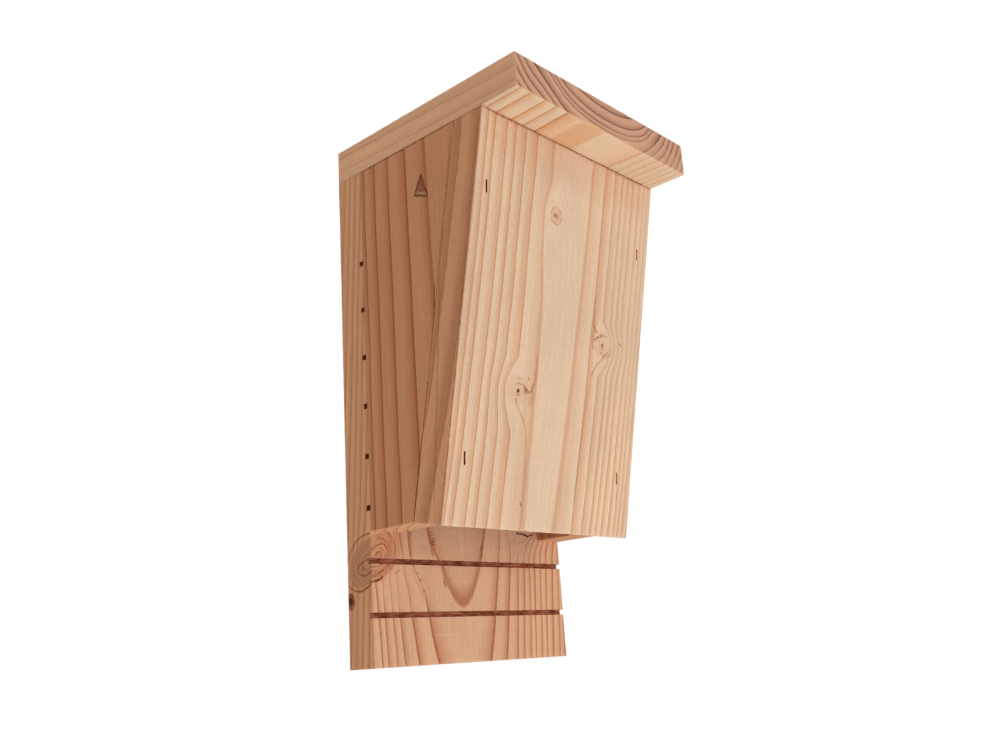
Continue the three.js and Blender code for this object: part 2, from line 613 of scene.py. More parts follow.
    def mix(self, share: Value, first: Value, second: Value) -> Signal:
        """Mixes two numbers by a share from 0 to 1.

        Args:
            share: how much of the second there is.
            first: the first number.
            second: the second number.

        Returns:
            The mixed number.
        """
        node = self.add("ShaderNodeMix", data_type="FLOAT")
        for index, value in zip((0, 2, 3), (share, first, second)):
            self.feed(node.inputs[index], value)
        return self.signal(node.outputs[0])

    def blend(self, share: Value, first: Value, second: Value) -> Signal:
        """Mixes two colours by a share from 0 to 1.

        Args:
            share: how much of the second there is.
            first: the first colour.
            second: the second colour.

        Returns:
            The mixed colour.
        """
        node = self.add("ShaderNodeMix", data_type="RGBA", blend_type="MIX")
        for index, value in zip((0, 6, 7), (share, first, second)):
            self.feed(node.inputs[index], value)
        return self.signal(node.outputs[2])

    def curve(self, value: Value, marks: Marks, margin: float) -> Signal:
        """Follows a curve through marks, and goes straight on past its ends.

        Args:
            value: the input.
            marks: pairs of input and result, in rising order.
            margin: how far past the ends the curve is known.

        Returns:
            The curve's result.
        """
        ends = []
        for (x, y), (near_x, near_y), step in (
            (marks[0], marks[1], -margin),
            (marks[-1], marks[-2], margin),
        ):
            ends.append((x + step, y + step * (near_y - y) / (near_x - x)))
        full = (ends[0], *marks, ends[1])
        low_in, low_out = full[0][0], min(y for _, y in full)
        span_in, span_out = full[-1][0] - low_in, max(y for _, y in full) - low_out
        node = self.add("ShaderNodeFloatCurve")
        line = node.mapping.curves[0]
        spots = [((x - low_in) / span_in, (y - low_out) / span_out) for x, y in full]
        line.points[0].location, line.points[1].location = spots[0], spots[-1]
        for spot in spots[1:-1]:
            line.points.new(*spot)
        for point in line.points:
            point.handle_type = "AUTO_CLAMPED"
        node.mapping.update()
        self.feed(node.inputs["Value"], (value - low_in) / span_in)
        return self.signal(node.outputs[0]) * span_out + low_out

    def place(self, group: Group, *marks: object, **values: Value) -> dict[str, Signal]:
        """Places a shared effect, and feeds each input with what has its name.

        Args:
            group: the effect's node group.
            marks: settings whose fields go into inputs.
            values: what else goes into inputs.

        Returns:
            The effect's outputs by name.
        """
        node = self.add("ShaderNodeGroup", node_tree=group)
        known = {name: value for mark in marks for name, value in vars(mark).items()} | values
        for socket in node.inputs:
            self.feed(socket, known[socket.name])
        return {socket.name: self.signal(socket) for socket in node.outputs}


class Effect:
    """One shared effect: a node group with named inputs and outputs."""

    def __init__(
        self,
        name: str,
        gives: dict[str, Kind],
        vectors: str = "",
        numbers: str = "",
        colours: str = "",
    ) -> None:
        """Starts an effect.

        Args:
            name: the group's name.
            gives: its outputs.
            vectors: the names of its vector inputs.
            numbers: the names of its number inputs.
            colours: the names of its colour inputs.
        """
        self.tree = bpy.data.node_groups.new(name, "ShaderNodeTree")
        face = self.tree.interface
        takes = {Kind.VECTOR: vectors, Kind.NUMBER: numbers, Kind.COLOUR: colours}
        for kind, labels in takes.items():
            for label in labels.split():
                face.new_socket(name=label, in_out="INPUT", socket_type=kind.value)
        for label, kind in gives.items():
            face.new_socket(name=label, in_out="OUTPUT", socket_type=kind.value)
        self.nodes = Nodes(self.tree)
        inlet = self.nodes.add("NodeGroupInput").outputs
        labels = " ".join(takes.values()).split()
        self.take = SimpleNamespace(**{label: self.nodes.signal(inlet[label]) for label in labels})
        self.outlet = self.nodes.add("NodeGroupOutput").inputs

    def give(self, **values: Value) -> Group:
        """Sends values out of the effect.

        Args:
            values: the outputs by name.

        Returns:
            The finished node group.
        """
        for label, value in values.items():
            self.nodes.feed(self.outlet[label], value)
        return self.tree


# What an effect gives that changes a colour and a relief.
LOOK = {"colour": Kind.COLOUR, "height": Kind.NUMBER}


class WoodEffects:
    """The effects that the wood finishes share, each built once."""

    def __init__(self) -> None:
        """Builds every effect."""
        self.parting = self._parting()
        self.knot = self._knot()
        self.rings = self._rings()
        self.softwood = self._softwood()
        self.arris = self._arris()
        self.fleck = self._fleck()
        self.stroke = self._stroke()
        self.scratch = self._scratch()
        self.pocket = self._pocket()

    @staticmethod
    def _parting() -> Group:
        """The grain parts round a branch or a burr, to its left and right.

        Returns:
            The node group.
        """
        effect = Effect(
            "parted_grain",
            {"flow": Kind.VECTOR},
            vectors="point centre",
            numbers="parting_shift left_parting right_parting reach_up reach_down depth_share",
        )
        n, take = effect.nodes, effect.take
        x, y, z = n.split(take.point - take.centre)
        x = x - take.parting_shift
        aside = n.gather(x, y * take.depth_share, 0.0)
        away = n.length(aside)
        parting = n.mix(x > 0.0, take.left_parting, take.right_parting)
        reach = n.mix(z > 0.0, take.reach_down, take.reach_up)
        along = n.fade(abs(z), 0.0, reach)
        near = n.fade(away, parting * 1.3, parting * 3.4)
        opened = parting * parting * (along * near) * n.fade(y, 10.0, 19.0)
        square = n.higher(away * away - opened, 0.0)
        share = n.math("SQRT", square) / n.higher(away, 0.01)
        return effect.give(flow=take.point + n.scale(aside, share - 1.0))

    @staticmethod
    def _knot() -> Group:
        """A branch that crosses the board, with a body, rings and a heart of its own.

        Returns:
            The node group.
        """
        effect = Effect(
            "knot",
            {"body": Kind.NUMBER, "swirl": Kind.NUMBER, "pith": Kind.NUMBER},
            vectors="point centre direction stretch",
            numbers="straightness radius ring_gap heart_radius body_strength ring_strength "
            "rim_strength heart_strength body swirl pith",
        )
        n, take = effect.nodes, effect.take
        squeezed = (take.point - take.centre) / take.stretch
        length = n.length(squeezed)
        axial = n.dot(squeezed, take.direction)
        flat = length * length - axial * axial * take.straightness
        wobble = n.noise(take.point, 0.15) - 0.5
        fine = n.noise(take.point, 0.55) - 0.5
        distance = n.math("SQRT", n.higher(flat, 0.0)) * (wobble * 0.34 + 1.0)
        patchy = n.ease(n.noise(take.point, 0.3, 1.0), 0.35, 0.65, 0.3, 1.0)
        inside = n.fade(distance, take.radius * 0.8, take.radius * 1.25)
        count = fine * 0.7 + distance / take.ring_gap
        ridge = abs(n.math("FRACT", count) * 2.0 - 1.0)
        uneven = n.chance(n.math("FLOOR", count + 0.5) + take.radius) * 0.8 + 0.35
        lines = n.ease(ridge, 0.35, 0.9) * (uneven * patchy) * inside
        rim = n.fade(abs(distance - take.radius), 0.1, take.ring_gap * 0.55)
        rim = rim * patchy * take.rim_strength
        heart = n.fade(fine * 2.4 + distance, take.heart_radius * 0.5, take.heart_radius * 1.4)
        return effect.give(
            body=n.higher(inside * take.body_strength, take.body),
            swirl=n.higher(n.higher(lines * take.ring_strength, rim), take.swirl),
            pith=n.higher(heart * take.heart_strength, take.pith),
        )

    @staticmethod
    def _rings() -> Group:
        """Turns a count of growth rings into late wood, growth lines and a tone for each ring.

        Returns:
            The node group.
        """
        effect = Effect(
            "year_rings",
            {"late_part": Kind.NUMBER, "line_part": Kind.NUMBER, "tone": Kind.NUMBER},
            numbers="count turned late_start late_full core_strength line_strength seed",
        )
        n, take = effect.nodes, effect.take
        whole = n.math("FLOOR", take.count)
        part = take.count - whole
        reach = take.turned * (part * -2.0 + 1.0) + part
        seeded = whole + take.seed
        first, second = n.chance(seeded), n.chance(seeded + 31.7)
        rise = n.ease(reach, take.late_start + (first * 0.24 - 0.12), take.late_full)
        edge = n.fade(reach, 0.96, 1.0)
        core = n.ease(abs(take.count), 0.3, 1.4, take.core_strength, 1.0)
        strength = (second * 0.4 + 0.7) * core
        line = n.ease(reach, 0.82, 0.94) * edge
        return effect.give(
            late_part=rise * edge * (strength * take.line_strength),
            line_part=line * (strength * (take.line_strength * 0.7 + 0.3)),
            tone=second,
        )

    @staticmethod
    def _softwood() -> Group:
        """Planed softwood: early and late wood, fibres, knots and darker end grain.

        Returns:
            The node group.
        """
        effect = Effect(
            "softwood",
            {**LOOK, "roughness": Kind.NUMBER},
            vectors="point flow",
            numbers="late_part line_part tone body swirl pith mark crack end_part edge_part",
            colours="early late line knot grain heart end end_line edge",
        )
        n, take = effect.nodes, effect.take
        on_end, on_edge = take.end_part, take.edge_part
        streaks = n.noise(take.flow, (1.5, 1.5, 0.022), 3.0, 0.6)
        fibres = n.noise(take.flow, (5.0, 5.0, 0.14), 2.0, 0.6)
        specks = n.noise(take.point, 2.6, 2.0, 0.6)
        clouds = n.noise(take.point, (0.028, 0.028, 0.012))
        fuzz = n.noise(take.point, (0.9, 0.9, 2.8), 2.0, 0.55)
        mottles = n.noise(take.point, (0.5, 0.5, 0.26), 2.0, 0.55)
        hue = n.noise(take.point, (0.1, 0.1, 0.045), 3.0, 0.6) - 0.5
        early = n.blend(on_end, n.blend(on_edge, take.early, take.edge), take.end)
        late = n.blend(on_end, n.blend(on_edge, take.late, take.line), take.end_line)
        line = n.blend(on_end, take.line, take.end_line)
        late_wood = take.late_part * (streaks * 0.5 + 0.75)
        soft = n.math("MULTIPLY", late_wood, on_end * -0.4 + 1.0, clamp=True)
        thin = n.math("MULTIPLY", take.line_part, fibres * 0.7 + 0.55, clamp=True)
        base = n.blend(thin, n.blend(soft, early, late), line)
        grain = (streaks - 0.5) * 0.42 + (fibres - 0.5) * 0.26
        bright = grain * (1.0 - on_end * 0.75) + (clouds - 0.5) * 0.26
        bright = bright + (take.tone - 0.5) * 0.07 + (specks - 0.5) * 0.2
        bright = bright + (fuzz - 0.5) * 0.13 + (mottles - 0.5) * 0.19 + 1.0
        tint = n.gather(hue * 0.03 + 1.0, hue * -0.05 + 1.0, hue * 0.05 + 1.0)
        base = n.scale(base, bright) * tint
        # The marks and cracks take in strokes of painted shade along joints and under the roof, as
        # well as grain.
        for mask, colour in (
            (take.body, take.knot),
            (take.swirl, take.grain),
            (take.mark, take.grain),
            (n.higher(take.pith, take.crack), take.heart),
        ):
            base = n.blend(mask, base, colour)
        relief = (fibres - 0.5) * 0.035 + (streaks - 0.5) * 0.03 + (fuzz - 0.5) * 0.02
        relief = relief + take.late_part * 0.03 - take.swirl * 0.03 - take.pith * 0.1
        rough = (fibres - 0.5) * 0.16 + 0.64 - take.late_part * 0.08 + on_end * 0.14
        return effect.give(colour=base, height=relief, roughness=rough)

    @staticmethod
    def _arris() -> Group:
        """Worn arrises of a squared board: a pale, fuzzy strip along its edges.

        Returns:
            The node group.
        """
        effect = Effect(
            "worn_arris",
            LOOK,
            vectors="point middle half",
            numbers="arris_width arris_strength height",
            colours="colour worn",
        )
        n, take = effect.nodes, effect.take
        x, y, z = n.split(take.half - n.vector("ABSOLUTE", take.point - take.middle))
        from_edge = n.higher(n.lower(x, y), n.lower(n.higher(x, y), z))
        fuzz = n.noise(take.point, (0.9, 0.9, 0.5), 3.0, 0.65)
        ragged = (fuzz - 0.5) * 2.2 + from_edge
        mask = n.fade(ragged, take.arris_width * 0.2, take.arris_width) * take.arris_strength
        return effect.give(
            colour=n.blend(mask, take.colour, take.worn),
            height=mask * ((fuzz - 0.6) * 0.5) + take.height,
        )

    @staticmethod
    def _fleck() -> Group:
        """Torn grain: short dark flecks inside an oval patch.

        Returns:
            The node group.
        """
        effect = Effect(
            "torn_grain",
            LOOK,
            vectors="point centre size waves",
            numbers="tilt height",
            colours="colour grain",
        )
        n, take = effect.nodes, effect.take
        x, y, z = n.split(take.point - take.centre)
        leaned = z * take.tilt + x
        patch = n.length(n.gather(leaned, y, z) / take.size)
        spots = n.noise(n.gather(leaned, 0.0, z), take.waves, 3.0, 0.65)
        bar = n.fade(patch, 0.2, 1.1) * -0.26 + 0.7
        level = n.ease(spots, bar, bar + 0.12) * (n.fade(patch, 0.8, 1.1) * 0.8)
        return effect.give(
            colour=n.blend(level, take.colour, take.grain), height=level * -0.12 + take.height
        )

    @staticmethod
    def _stroke() -> Group:
        """A short dark line in the face, straight or bowed: a hook of grain, a check or a nick. Some
        also paint shade: broad and faint under the roof, and thin along joints.

        Returns:
            The node group.
        """
        effect = Effect(
            "grain_stroke",
            {"mask": Kind.NUMBER},
            vectors="point start along across out",
            numbers="length bend start_half end_half strength mask",
        )
        n, take = effect.nodes, effect.take
        offset = take.point - take.start
        share = n.dot(offset, take.along) / take.length
        doubled = n.fused(share, 2.0, -1.0)
        arch = n.fused(doubled * doubled, -1.0, 1.0)
        across = abs(n.dot(offset, take.across) - arch * take.bend)
        half = n.mix(share, take.start_half, take.end_half)
        line = n.fade(across, half * 0.15, half)
        begun, ended = n.ease(share, -0.06, 0.1), n.fade(share, 0.9, 1.06)
        on_face = abs(n.dot(offset, take.out)) < 1.2
        mask = line * begun * (ended * on_face) * take.strength
        return effect.give(mask=n.higher(mask, take.mask))

    @staticmethod
    def _scratch() -> Group:
        """A faint pale scratch across the grain.

        Returns:
            The node group.
        """
        effect = Effect(
            "scratch",
            {"colour": Kind.COLOUR},
            vectors="point",
            numbers="begin stop along",
            colours="colour worn",
        )
        n, take = effect.nodes, effect.take
        x, y, z = n.split(take.point)
        sway = n.noise(take.point, 0.12, 1.0) * 0.8
        line = n.fade(abs(z - take.along + sway), 0.15, 0.6)
        begun = n.ease(x, take.begin, take.begin + 4.0)
        ended = n.fade(x, take.stop - 4.0, take.stop)
        broken = n.ease(n.noise(take.point, 0.5, 1.0), 0.35, 0.6, 0.1, 0.5)
        mask = line * begun * ended * (y < 1.0) * broken
        return effect.give(colour=n.blend(mask, take.colour, take.worn))

    @staticmethod
    def _pocket() -> Group:
        """A pitch pocket that the plane has opened: a pointed brown hollow with a grey foot.

        Returns:
            The node group.
        """
        effect = Effect(
            "pitch_pocket",
            LOOK,
            vectors="point tip near_foot far_foot",
            numbers="height",
            colours="colour hollow rim grey",
        )
        n, take = effect.nodes, effect.take
        stray = (n.noise(take.point, 0.45) - 0.5) * 2.4

        def side(start: Signal, end: Signal) -> Signal:
            """Measures how far a place lies inside one side.

            Args:
                start: the side's first corner.
                end: its second corner.

            Returns:
                The distance, positive inside.
            """
            run_x, _, run_z = n.split(end - start)
            x, _, z = n.split(take.point - start)
            return (run_x * z - run_z * x) / n.length(n.gather(run_x, 0.0, run_z))

        foot = side(take.far_foot, take.near_foot)
        sides = side(take.tip, take.far_foot), side(take.near_foot, take.tip)
        inside = n.lower(n.math("SMOOTH_MIN", *sides, 3.0), foot) + stray
        mask = n.ease(inside, -0.2, 0.5)
        rim = n.ease(inside, -0.6, 0.2) * n.fade(inside, 0.3, 1.8)
        above = foot + stray * 0.4
        stripe = abs(n.math("SINE", above * 3.0))
        grey = n.fade(above, 2.7, 3.3) * n.ease(above, 1.0, 1.5)
        grey = grey * n.ease(stripe, 0.3, 0.8, 0.1, 0.85)
        streak = n.noise(take.point, (1.2, 1.2, 0.35))
        hollow = n.scale(take.hollow, streak * 0.9 + 0.55)
        shown = n.blend(mask * 0.9, take.colour, hollow)
        shown = n.blend(grey * mask, shown, take.grey)
        shown = n.blend(rim * 0.55, shown, take.rim)
        return effect.give(colour=shown, height=mask * -0.7 + take.height)


@dataclass(frozen=True)
class KnotMark:
    """Where a branch crosses a board, in the board's own axes.

    The grain parts at the parting shift from its centre. The partings say how far it is pushed aside
    left and right, and the reaches say how far up and down. Straightness is 1 for a branch that runs
    on, and 0 for a ball-shaped knot. Without a radius only the grain parts.
    """

    centre: Point
    radius: float
    direction: Point = REAR
    straightness: float = 1.0
    stretch: Point = (1.0, 1.0, 1.0)
    parting_shift: float = 0.0
    left_parting: float = 8.0
    right_parting: float = 8.0
    reach_up: float = 18.0
    reach_down: float = 18.0
    depth_share: float = 0.0
    ring_gap: float = 1.5
    heart_radius: float = 1.2
    body_strength: float = 0.3
    ring_strength: float = 0.3
    rim_strength: float = 0.2
    heart_strength: float = 0.9


@dataclass(frozen=True)
class FaintMark:
    """An oval part of a board where the growth lines are weaker."""

    centre: Point
    size: Point
    strength: float


@dataclass(frozen=True)
class StrokeMark:
    """A dark line on a board's face, from one place (across, along) to another.

    The bend is how far its middle bows out to the left of its run. With an edge, the line is on the
    long edge at that place across, and runs from (depth, along).
    """

    start_across: float
    start_along: float
    end_across: float
    end_along: float
    width: float
    end_width: float
    strength: float
    bend: float = 0.0
    edge: float | None = None

    def values(self) -> dict[str, Value]:
        """Works out the stroke's inputs.

        Returns:
            The values by the names of the effect's inputs.
        """
        on_edge = Matrix(((0, 1, 0), (1, 0, 0), (0, 0, 1)))
        turn = Matrix.Identity(3) if self.edge is None else on_edge
        start = Vector((self.start_across, self.edge or 0.0, self.start_along))
        across, up = self.end_across - self.start_across, self.end_along - self.start_along
        run = Vector((across, 0.0, up))
        along = run.normalized()
        return {
            "start": tuple(turn @ start),
            "along": tuple(turn @ along),
            "across": tuple(turn @ Vector((-along.z, 0.0, along.x))),
            "out": tuple(turn @ Vector(REAR)),
            "length": run.length,
            "bend": self.bend,
            "start_half": self.width / 2,
            "end_half": self.end_width / 2,
            "strength": self.strength,
        }


def strokes(*rows: Sequence[float], edge: float | None = None) -> tuple[StrokeMark, ...]:
    """Reads strokes off a table.

    Args:
        rows: for each stroke across and along at its start, the same at its end, its width at the
            start and at the end, its strength, and its bend where it has one.
        edge: the place across of the long edge that the strokes are on.

    Returns:
        The strokes.
    """
    return tuple(StrokeMark(*row, edge=edge) for row in rows)


@dataclass(frozen=True)
class FleckMark:
    """A patch of torn grain on a board's face."""

    centre: Point
    size: Point
    waves: Point
    tilt: float


@dataclass(frozen=True)
class ScratchMark:
    """A pale scratch across a board's face."""

    begin: float
    stop: float
    along: float


@dataclass(frozen=True)
class PocketMark:
    """The three corners of an opened pitch pocket, clockwise on the board's face."""

    tip: Point
    near_foot: Point
    far_foot: Point
    hollow: Rgb = (154, 94, 66)
    rim: Rgb = (104, 48, 26)
    grey: Rgb = (192, 160, 122)


@dataclass(frozen=True)
class LogSection:
    """How a board lay in its log: the pith and the growth lines that cross its face."""

    pith_across: float
    pith_depth: float
    radii: Marks
    marks: Marks
    datum: float
    growth: Growth = Growth.OUTWARD
    bow: float = 0.0
    taper: float = 0.0
    sink: float = 0.0

    def radius_of(self, count: float) -> float:
        """Gives the radius at which a growth ring starts.

        Args:
            count: the ring's number.

        Returns:
            Its radius, by straight lines between the known ones.
        """
        pairs = list(zip(self.radii, self.radii[1:]))
        known = [pair for pair in pairs if count <= pair[1][1]]
        (low, first), (high, second) = known[0] if known else pairs[-1]
        return low + (high - low) * (count - first) / (second - first)

    def depth_at(self, across: float) -> float:
        """Gives the pith's depth below a place on the face, less on the left by the sink.

        Args:
            across: the place across the face.

        Returns:
            The depth, by the same smooth bend as the material's.
        """
        left = across - self.pith_across
        near = max(SINK_BEND - abs(left), 0.0) / SINK_BEND
        return abs(self.pith_depth) + self.sink * (min(left, 0.0) - near**3 * SINK_BEND / 6.0)

    def across_curve(self) -> Marks:
        """Pairs each growth line's place on the face with its place in the round log.

        Returns:
            Pairs in rising order.
        """
        spots = []
        for place, count in self.marks:
            depth = self.depth_at(place)
            reach = math.sqrt(max(self.radius_of(count) ** 2 - depth**2, 0.0))
            spots.append((place, math.copysign(reach, place - self.pith_across)))
        return tuple(sorted(spots))


@dataclass(frozen=True)
class WoodColours:
    """The colours of one board, as the eye reads them."""

    early: Rgb
    late: Rgb
    line: Rgb
    knot: Rgb
    # grain also colours the strokes of painted shade along joints and under the roof
    grain: Rgb
    heart: Rgb
    worn: Rgb
    end: Rgb
    end_line: Rgb
    edge: Rgb


@dataclass(frozen=True)
class WoodFinish:
    """The finish of one board: its log, its colours and its blemishes, with some strokes of painted
    shade.
    """

    name: str
    log: LogSection
    colours: WoodColours
    late_start: float = 0.3
    late_full: float = 0.85
    core_strength: float = 1.0
    arris_width: float = 1.0
    arris_strength: float = 0.15
    seed: float = 3.0
    knots: tuple[KnotMark, ...] = ()
    faint: tuple[FaintMark, ...] = ()
    strokes: tuple[StrokeMark, ...] = ()
    cracks: tuple[StrokeMark, ...] = ()
    flecks: tuple[FleckMark, ...] = ()
    scratches: tuple[ScratchMark, ...] = ()
    pocket: PocketMark | None = None


@dataclass(frozen=True)
class BoardAxes:
    """How a board's own axes lie in the box."""

    rotation: Point
    shift: Point
    grain: Point
    across: Point
    middle: Point
    half: Point


class Surface:
    """A material under way, from its coordinates to its shader."""

    def __init__(self, name: str) -> None:
        """Starts an empty material.

        Args:
            name: the material's name.
        """
        self.material = bpy.data.materials.new(name)
        self.material.use_nodes = True
        self.material.node_tree.nodes.clear()
        self.nodes = Nodes(self.material.node_tree)
        coordinates = self.nodes.add("ShaderNodeTexCoord").outputs
        self.place = self.nodes.signal(coordinates["Object"])
        self.normal = self.nodes.signal(coordinates["Normal"])

    def close(self, height: Value, depth: float, looks: dict[str, Value]) -> bpy.types.Material:
        """Ends the material in a bump and a shader.

        Args:
            height: the relief.
            depth: how deep a relief of 1 is, in millimetres.
            looks: what else goes into the shader, by its inputs' names.

        Returns:
            The material.
        """
        n = self.nodes
        bump = n.add("ShaderNodeBump")
        n.feed(bump.inputs["Distance"], depth * MM)
        n.feed(bump.inputs["Height"], height)
        shader = n.add("ShaderNodeBsdfPrincipled")
        for name, value in {**looks, "Normal": n.signal(bump.outputs[0])}.items():
            n.feed(shader.inputs[name], value)
        n.add("ShaderNodeOutputMaterial", n.signal(shader.outputs[0]))
        return self.material


class WoodSurface(Surface):
    """A board's material, from its finish and its axes."""

    def __init__(self, finish: WoodFinish, axes: BoardAxes, effects: WoodEffects) -> None:
        """Starts the material in the board's own axes, in millimetres.

        Args:
            finish: the board's finish.
            axes: how the board lies in the box.
            effects: the shared effects.
        """
        super().__init__(finish.name)
        self.finish, self.axes, self.effects = finish, axes, effects
        placed = (self.place, axes.shift, axes.rotation, (1.0 / MM,) * 3)
        mapping = self.nodes.add("ShaderNodeMapping", *placed, vector_type="POINT")
        self.point = self.nodes.signal(mapping.outputs[0])

    def _line_strength(self) -> Value:
        """Says how strong the growth lines are at each place.

        Returns:
            The strength, 1 outside the faint marks.
        """
        n, strength = self.nodes, 1.0
        for mark in self.finish.faint:
            away = n.length((self.point - mark.centre) / mark.size)
            strength = strength * n.ease(away, 0.6, 1.15, mark.strength, 1.0)
        return strength

    def _ring_count(self, flow: Signal) -> Signal:
        """Counts the growth rings out from the pith.

        Args:
            flow: where the grain runs, after the knots have moved it.

        Returns:
            The count, rising from the middle of the face to its edges.
        """
        n, log, seed = self.nodes, self.finish.log, self.finish.seed
        seeded = flow + (seed * 37.0, 0.0, seed * 11.0)
        slow = n.noise(seeded, (0.035, 0.035, 0.009)) - 0.5
        quick = n.noise(seeded, (0.2, 0.2, 0.03)) - 0.5
        fine = n.noise(seeded, (0.5, 0.5, 0.2)) - 0.5
        stray = slow * (2.0 * WANDER) + quick * (0.6 * WANDER) + fine * 0.5
        x, y, z = n.split(flow)
        run = z - log.datum
        moved = x + run * run * log.bow + stray
        across = n.curve(moved, log.across_curve(), 40.0)
        left = n.math("SMOOTH_MIN", moved - log.pith_across, 0.0, SINK_BEND)
        away = math.copysign(1.0, log.pith_depth)
        depth = left * log.sink + (y * -away + abs(log.pith_depth))
        radius = n.length(n.gather(across, depth, 0.0)) - run * log.taper
        return n.curve(radius, log.radii, 45.0)

    def _strokes(self) -> dict[str, Value]:
        """Draws the finish's strokes, with ragged sides and an uneven strength.

        Returns:
            The masks of the strokes and the cracks, with the painted shade of joints and roof among
            them, by the names of the wood's inputs.
        """
        n, masks = self.nodes, {"mark": 0.0, "crack": 0.0}
        shifts = ((0.0, 0.0, 0.0), (61.0, 17.0, 43.0))
        shaken = [n.noise(self.point + shift, 0.45, 3.0, 0.65) * 1.6 - 0.8 for shift in shifts]
        ragged = self.point + n.gather(shaken[0], 0.0, shaken[1])
        for label, lines in (("mark", self.finish.strokes), ("crack", self.finish.cracks)):
            for line in lines:
                given = {"point": ragged, "mask": masks[label], **line.values()}
                masks[label] = n.place(self.effects.stroke, **given)["mask"]
        uneven = n.ease(n.noise(self.point, 0.5, 2.0, 0.6), 0.3, 0.6, 0.45, 1.0)
        for label, strength in (("mark", uneven), ("crack", 1.0)):
            masks[label] = n.math("MULTIPLY", masks[label], strength, clamp=True)
        return masks

    def _blemishes(self, look: dict[str, Value]) -> dict[str, Value]:
        """Adds the torn grain, scratches and pitch pocket that the finish lists.

        Args:
            look: the wood's colour and relief so far.

        Returns:
            The colour and the relief with the blemishes.
        """
        n, finish, effects = self.nodes, self.finish, self.effects
        for fleck in finish.flecks:
            look = n.place(effects.fleck, finish.colours, fleck, point=self.point, **look)
        for scratch in finish.scratches:
            pale = n.place(effects.scratch, finish.colours, scratch, point=self.point, **look)
            look = {**look, **pale}
        if finish.pocket is not None:
            look = n.place(effects.pocket, finish.pocket, point=self.point, **look)
        return look

    def build(self) -> bpy.types.Material:
        """Builds the material.

        Returns:
            The board's material.
        """
        n, finish, effects, point = self.nodes, self.finish, self.effects, self.point
        flow = point
        masks: dict[str, Value] = {"body": 0.0, "swirl": 0.0, "pith": 0.0}
        for mark in finish.knots:
            if mark.radius > 0.0:
                direction = tuple(Vector(mark.direction).normalized())
                masks = n.place(effects.knot, mark, point=flow, direction=direction, **masks)
            flow = n.place(effects.parting, mark, point=flow)["flow"]
        rings = n.place(
            effects.rings,
            finish,
            count=self._ring_count(flow),
            turned=finish.log.growth.value,
            line_strength=self._line_strength(),
        )
        facing = [abs(n.dot(self.normal, axis)) for axis in (self.axes.grain, self.axes.across)]
        end_part, edge_part = [n.ease(part, 0.6, 0.95) for part in facing]
        places = {"point": point, "flow": flow, "end_part": end_part, "edge_part": edge_part}
        given = {**places, **rings, **masks, **self._strokes()}
        wood = n.place(effects.softwood, finish, finish.colours, **given)
        look = self._blemishes({"colour": wood["colour"], "height": wood["height"]})
        worn = n.place(effects.arris, finish, finish.colours, self.axes, point=point, **look)
        looks = {"Base Color": worn["colour"], "Roughness": wood["roughness"]}
        return self.close(worn["height"], 1.0, {**looks, "Specular IOR Level": 0.02})


@dataclass(frozen=True)
class CutWoodFinish:
    """Wood as a blade or a staple leaves it: the walls of kerfs and slots."""

    name: str
    pale: Rgb
    dark: Rgb
    relief: float

    def build(self) -> bpy.types.Material:
        """Builds the material.

        Returns:
            The cut wood's material.
        """
        surface = Surface(self.name)
        n = surface.nodes
        point = n.scale(surface.place, 1.0 / MM)
        stripes = n.noise(point, (0.14, 0.5, 0.5), 4.0, 0.7)
        teeth = n.noise(point, (1.6, 0.5, 3.0))
        colour = n.blend(n.ease(stripes, 0.35, 0.65), self.dark, self.pale)
        looks = {
            "Base Color": n.scale(colour, (teeth - 0.5) * 0.3 + 1.0),
            "Roughness": teeth * 0.1 + 0.78,
            "Specular IOR Level": 0.06,
        }
        return surface.close(teeth, self.relief, looks)


@dataclass(frozen=True)
class WireFinish:
    """Dull galvanised staple wire with a brown bloom."""

    name: str
    zinc: Rgb
    bloom: Rgb

    def build(self) -> bpy.types.Material:
        """Builds the material.

        Returns:
            The wire's material.
        """
        surface = Surface(self.name)
        n = surface.nodes
        point = n.scale(surface.place, 1.0 / MM)
        drawn = n.noise(point, 4.0)
        rusty = n.ease(n.noise(point, 0.8, 3.0, 0.6), 0.45, 0.62)
        looks = {
            "Base Color": n.blend(rusty, self.zinc, self.bloom),
            "Metallic": rusty * -0.1 + 0.25,
            "Roughness": drawn * 0.25 + 0.45,
            "Specular IOR Level": 0.15,
        }
        return surface.close(drawn, 0.03, looks)


@dataclass(frozen=True)
class Stock:
    """What the boards are dressed with: the wood effects and the looks of the cut walls, one of them a
    paler copy of the slots' walls with painted light.
    """

    effects: WoodEffects
    kerf: bpy.types.Material
    slot: bpy.types.Material
    # paler pocket walls: painted light where the lamp falls on the right-hand staples
    painted_lit_slot: bpy.types.Material


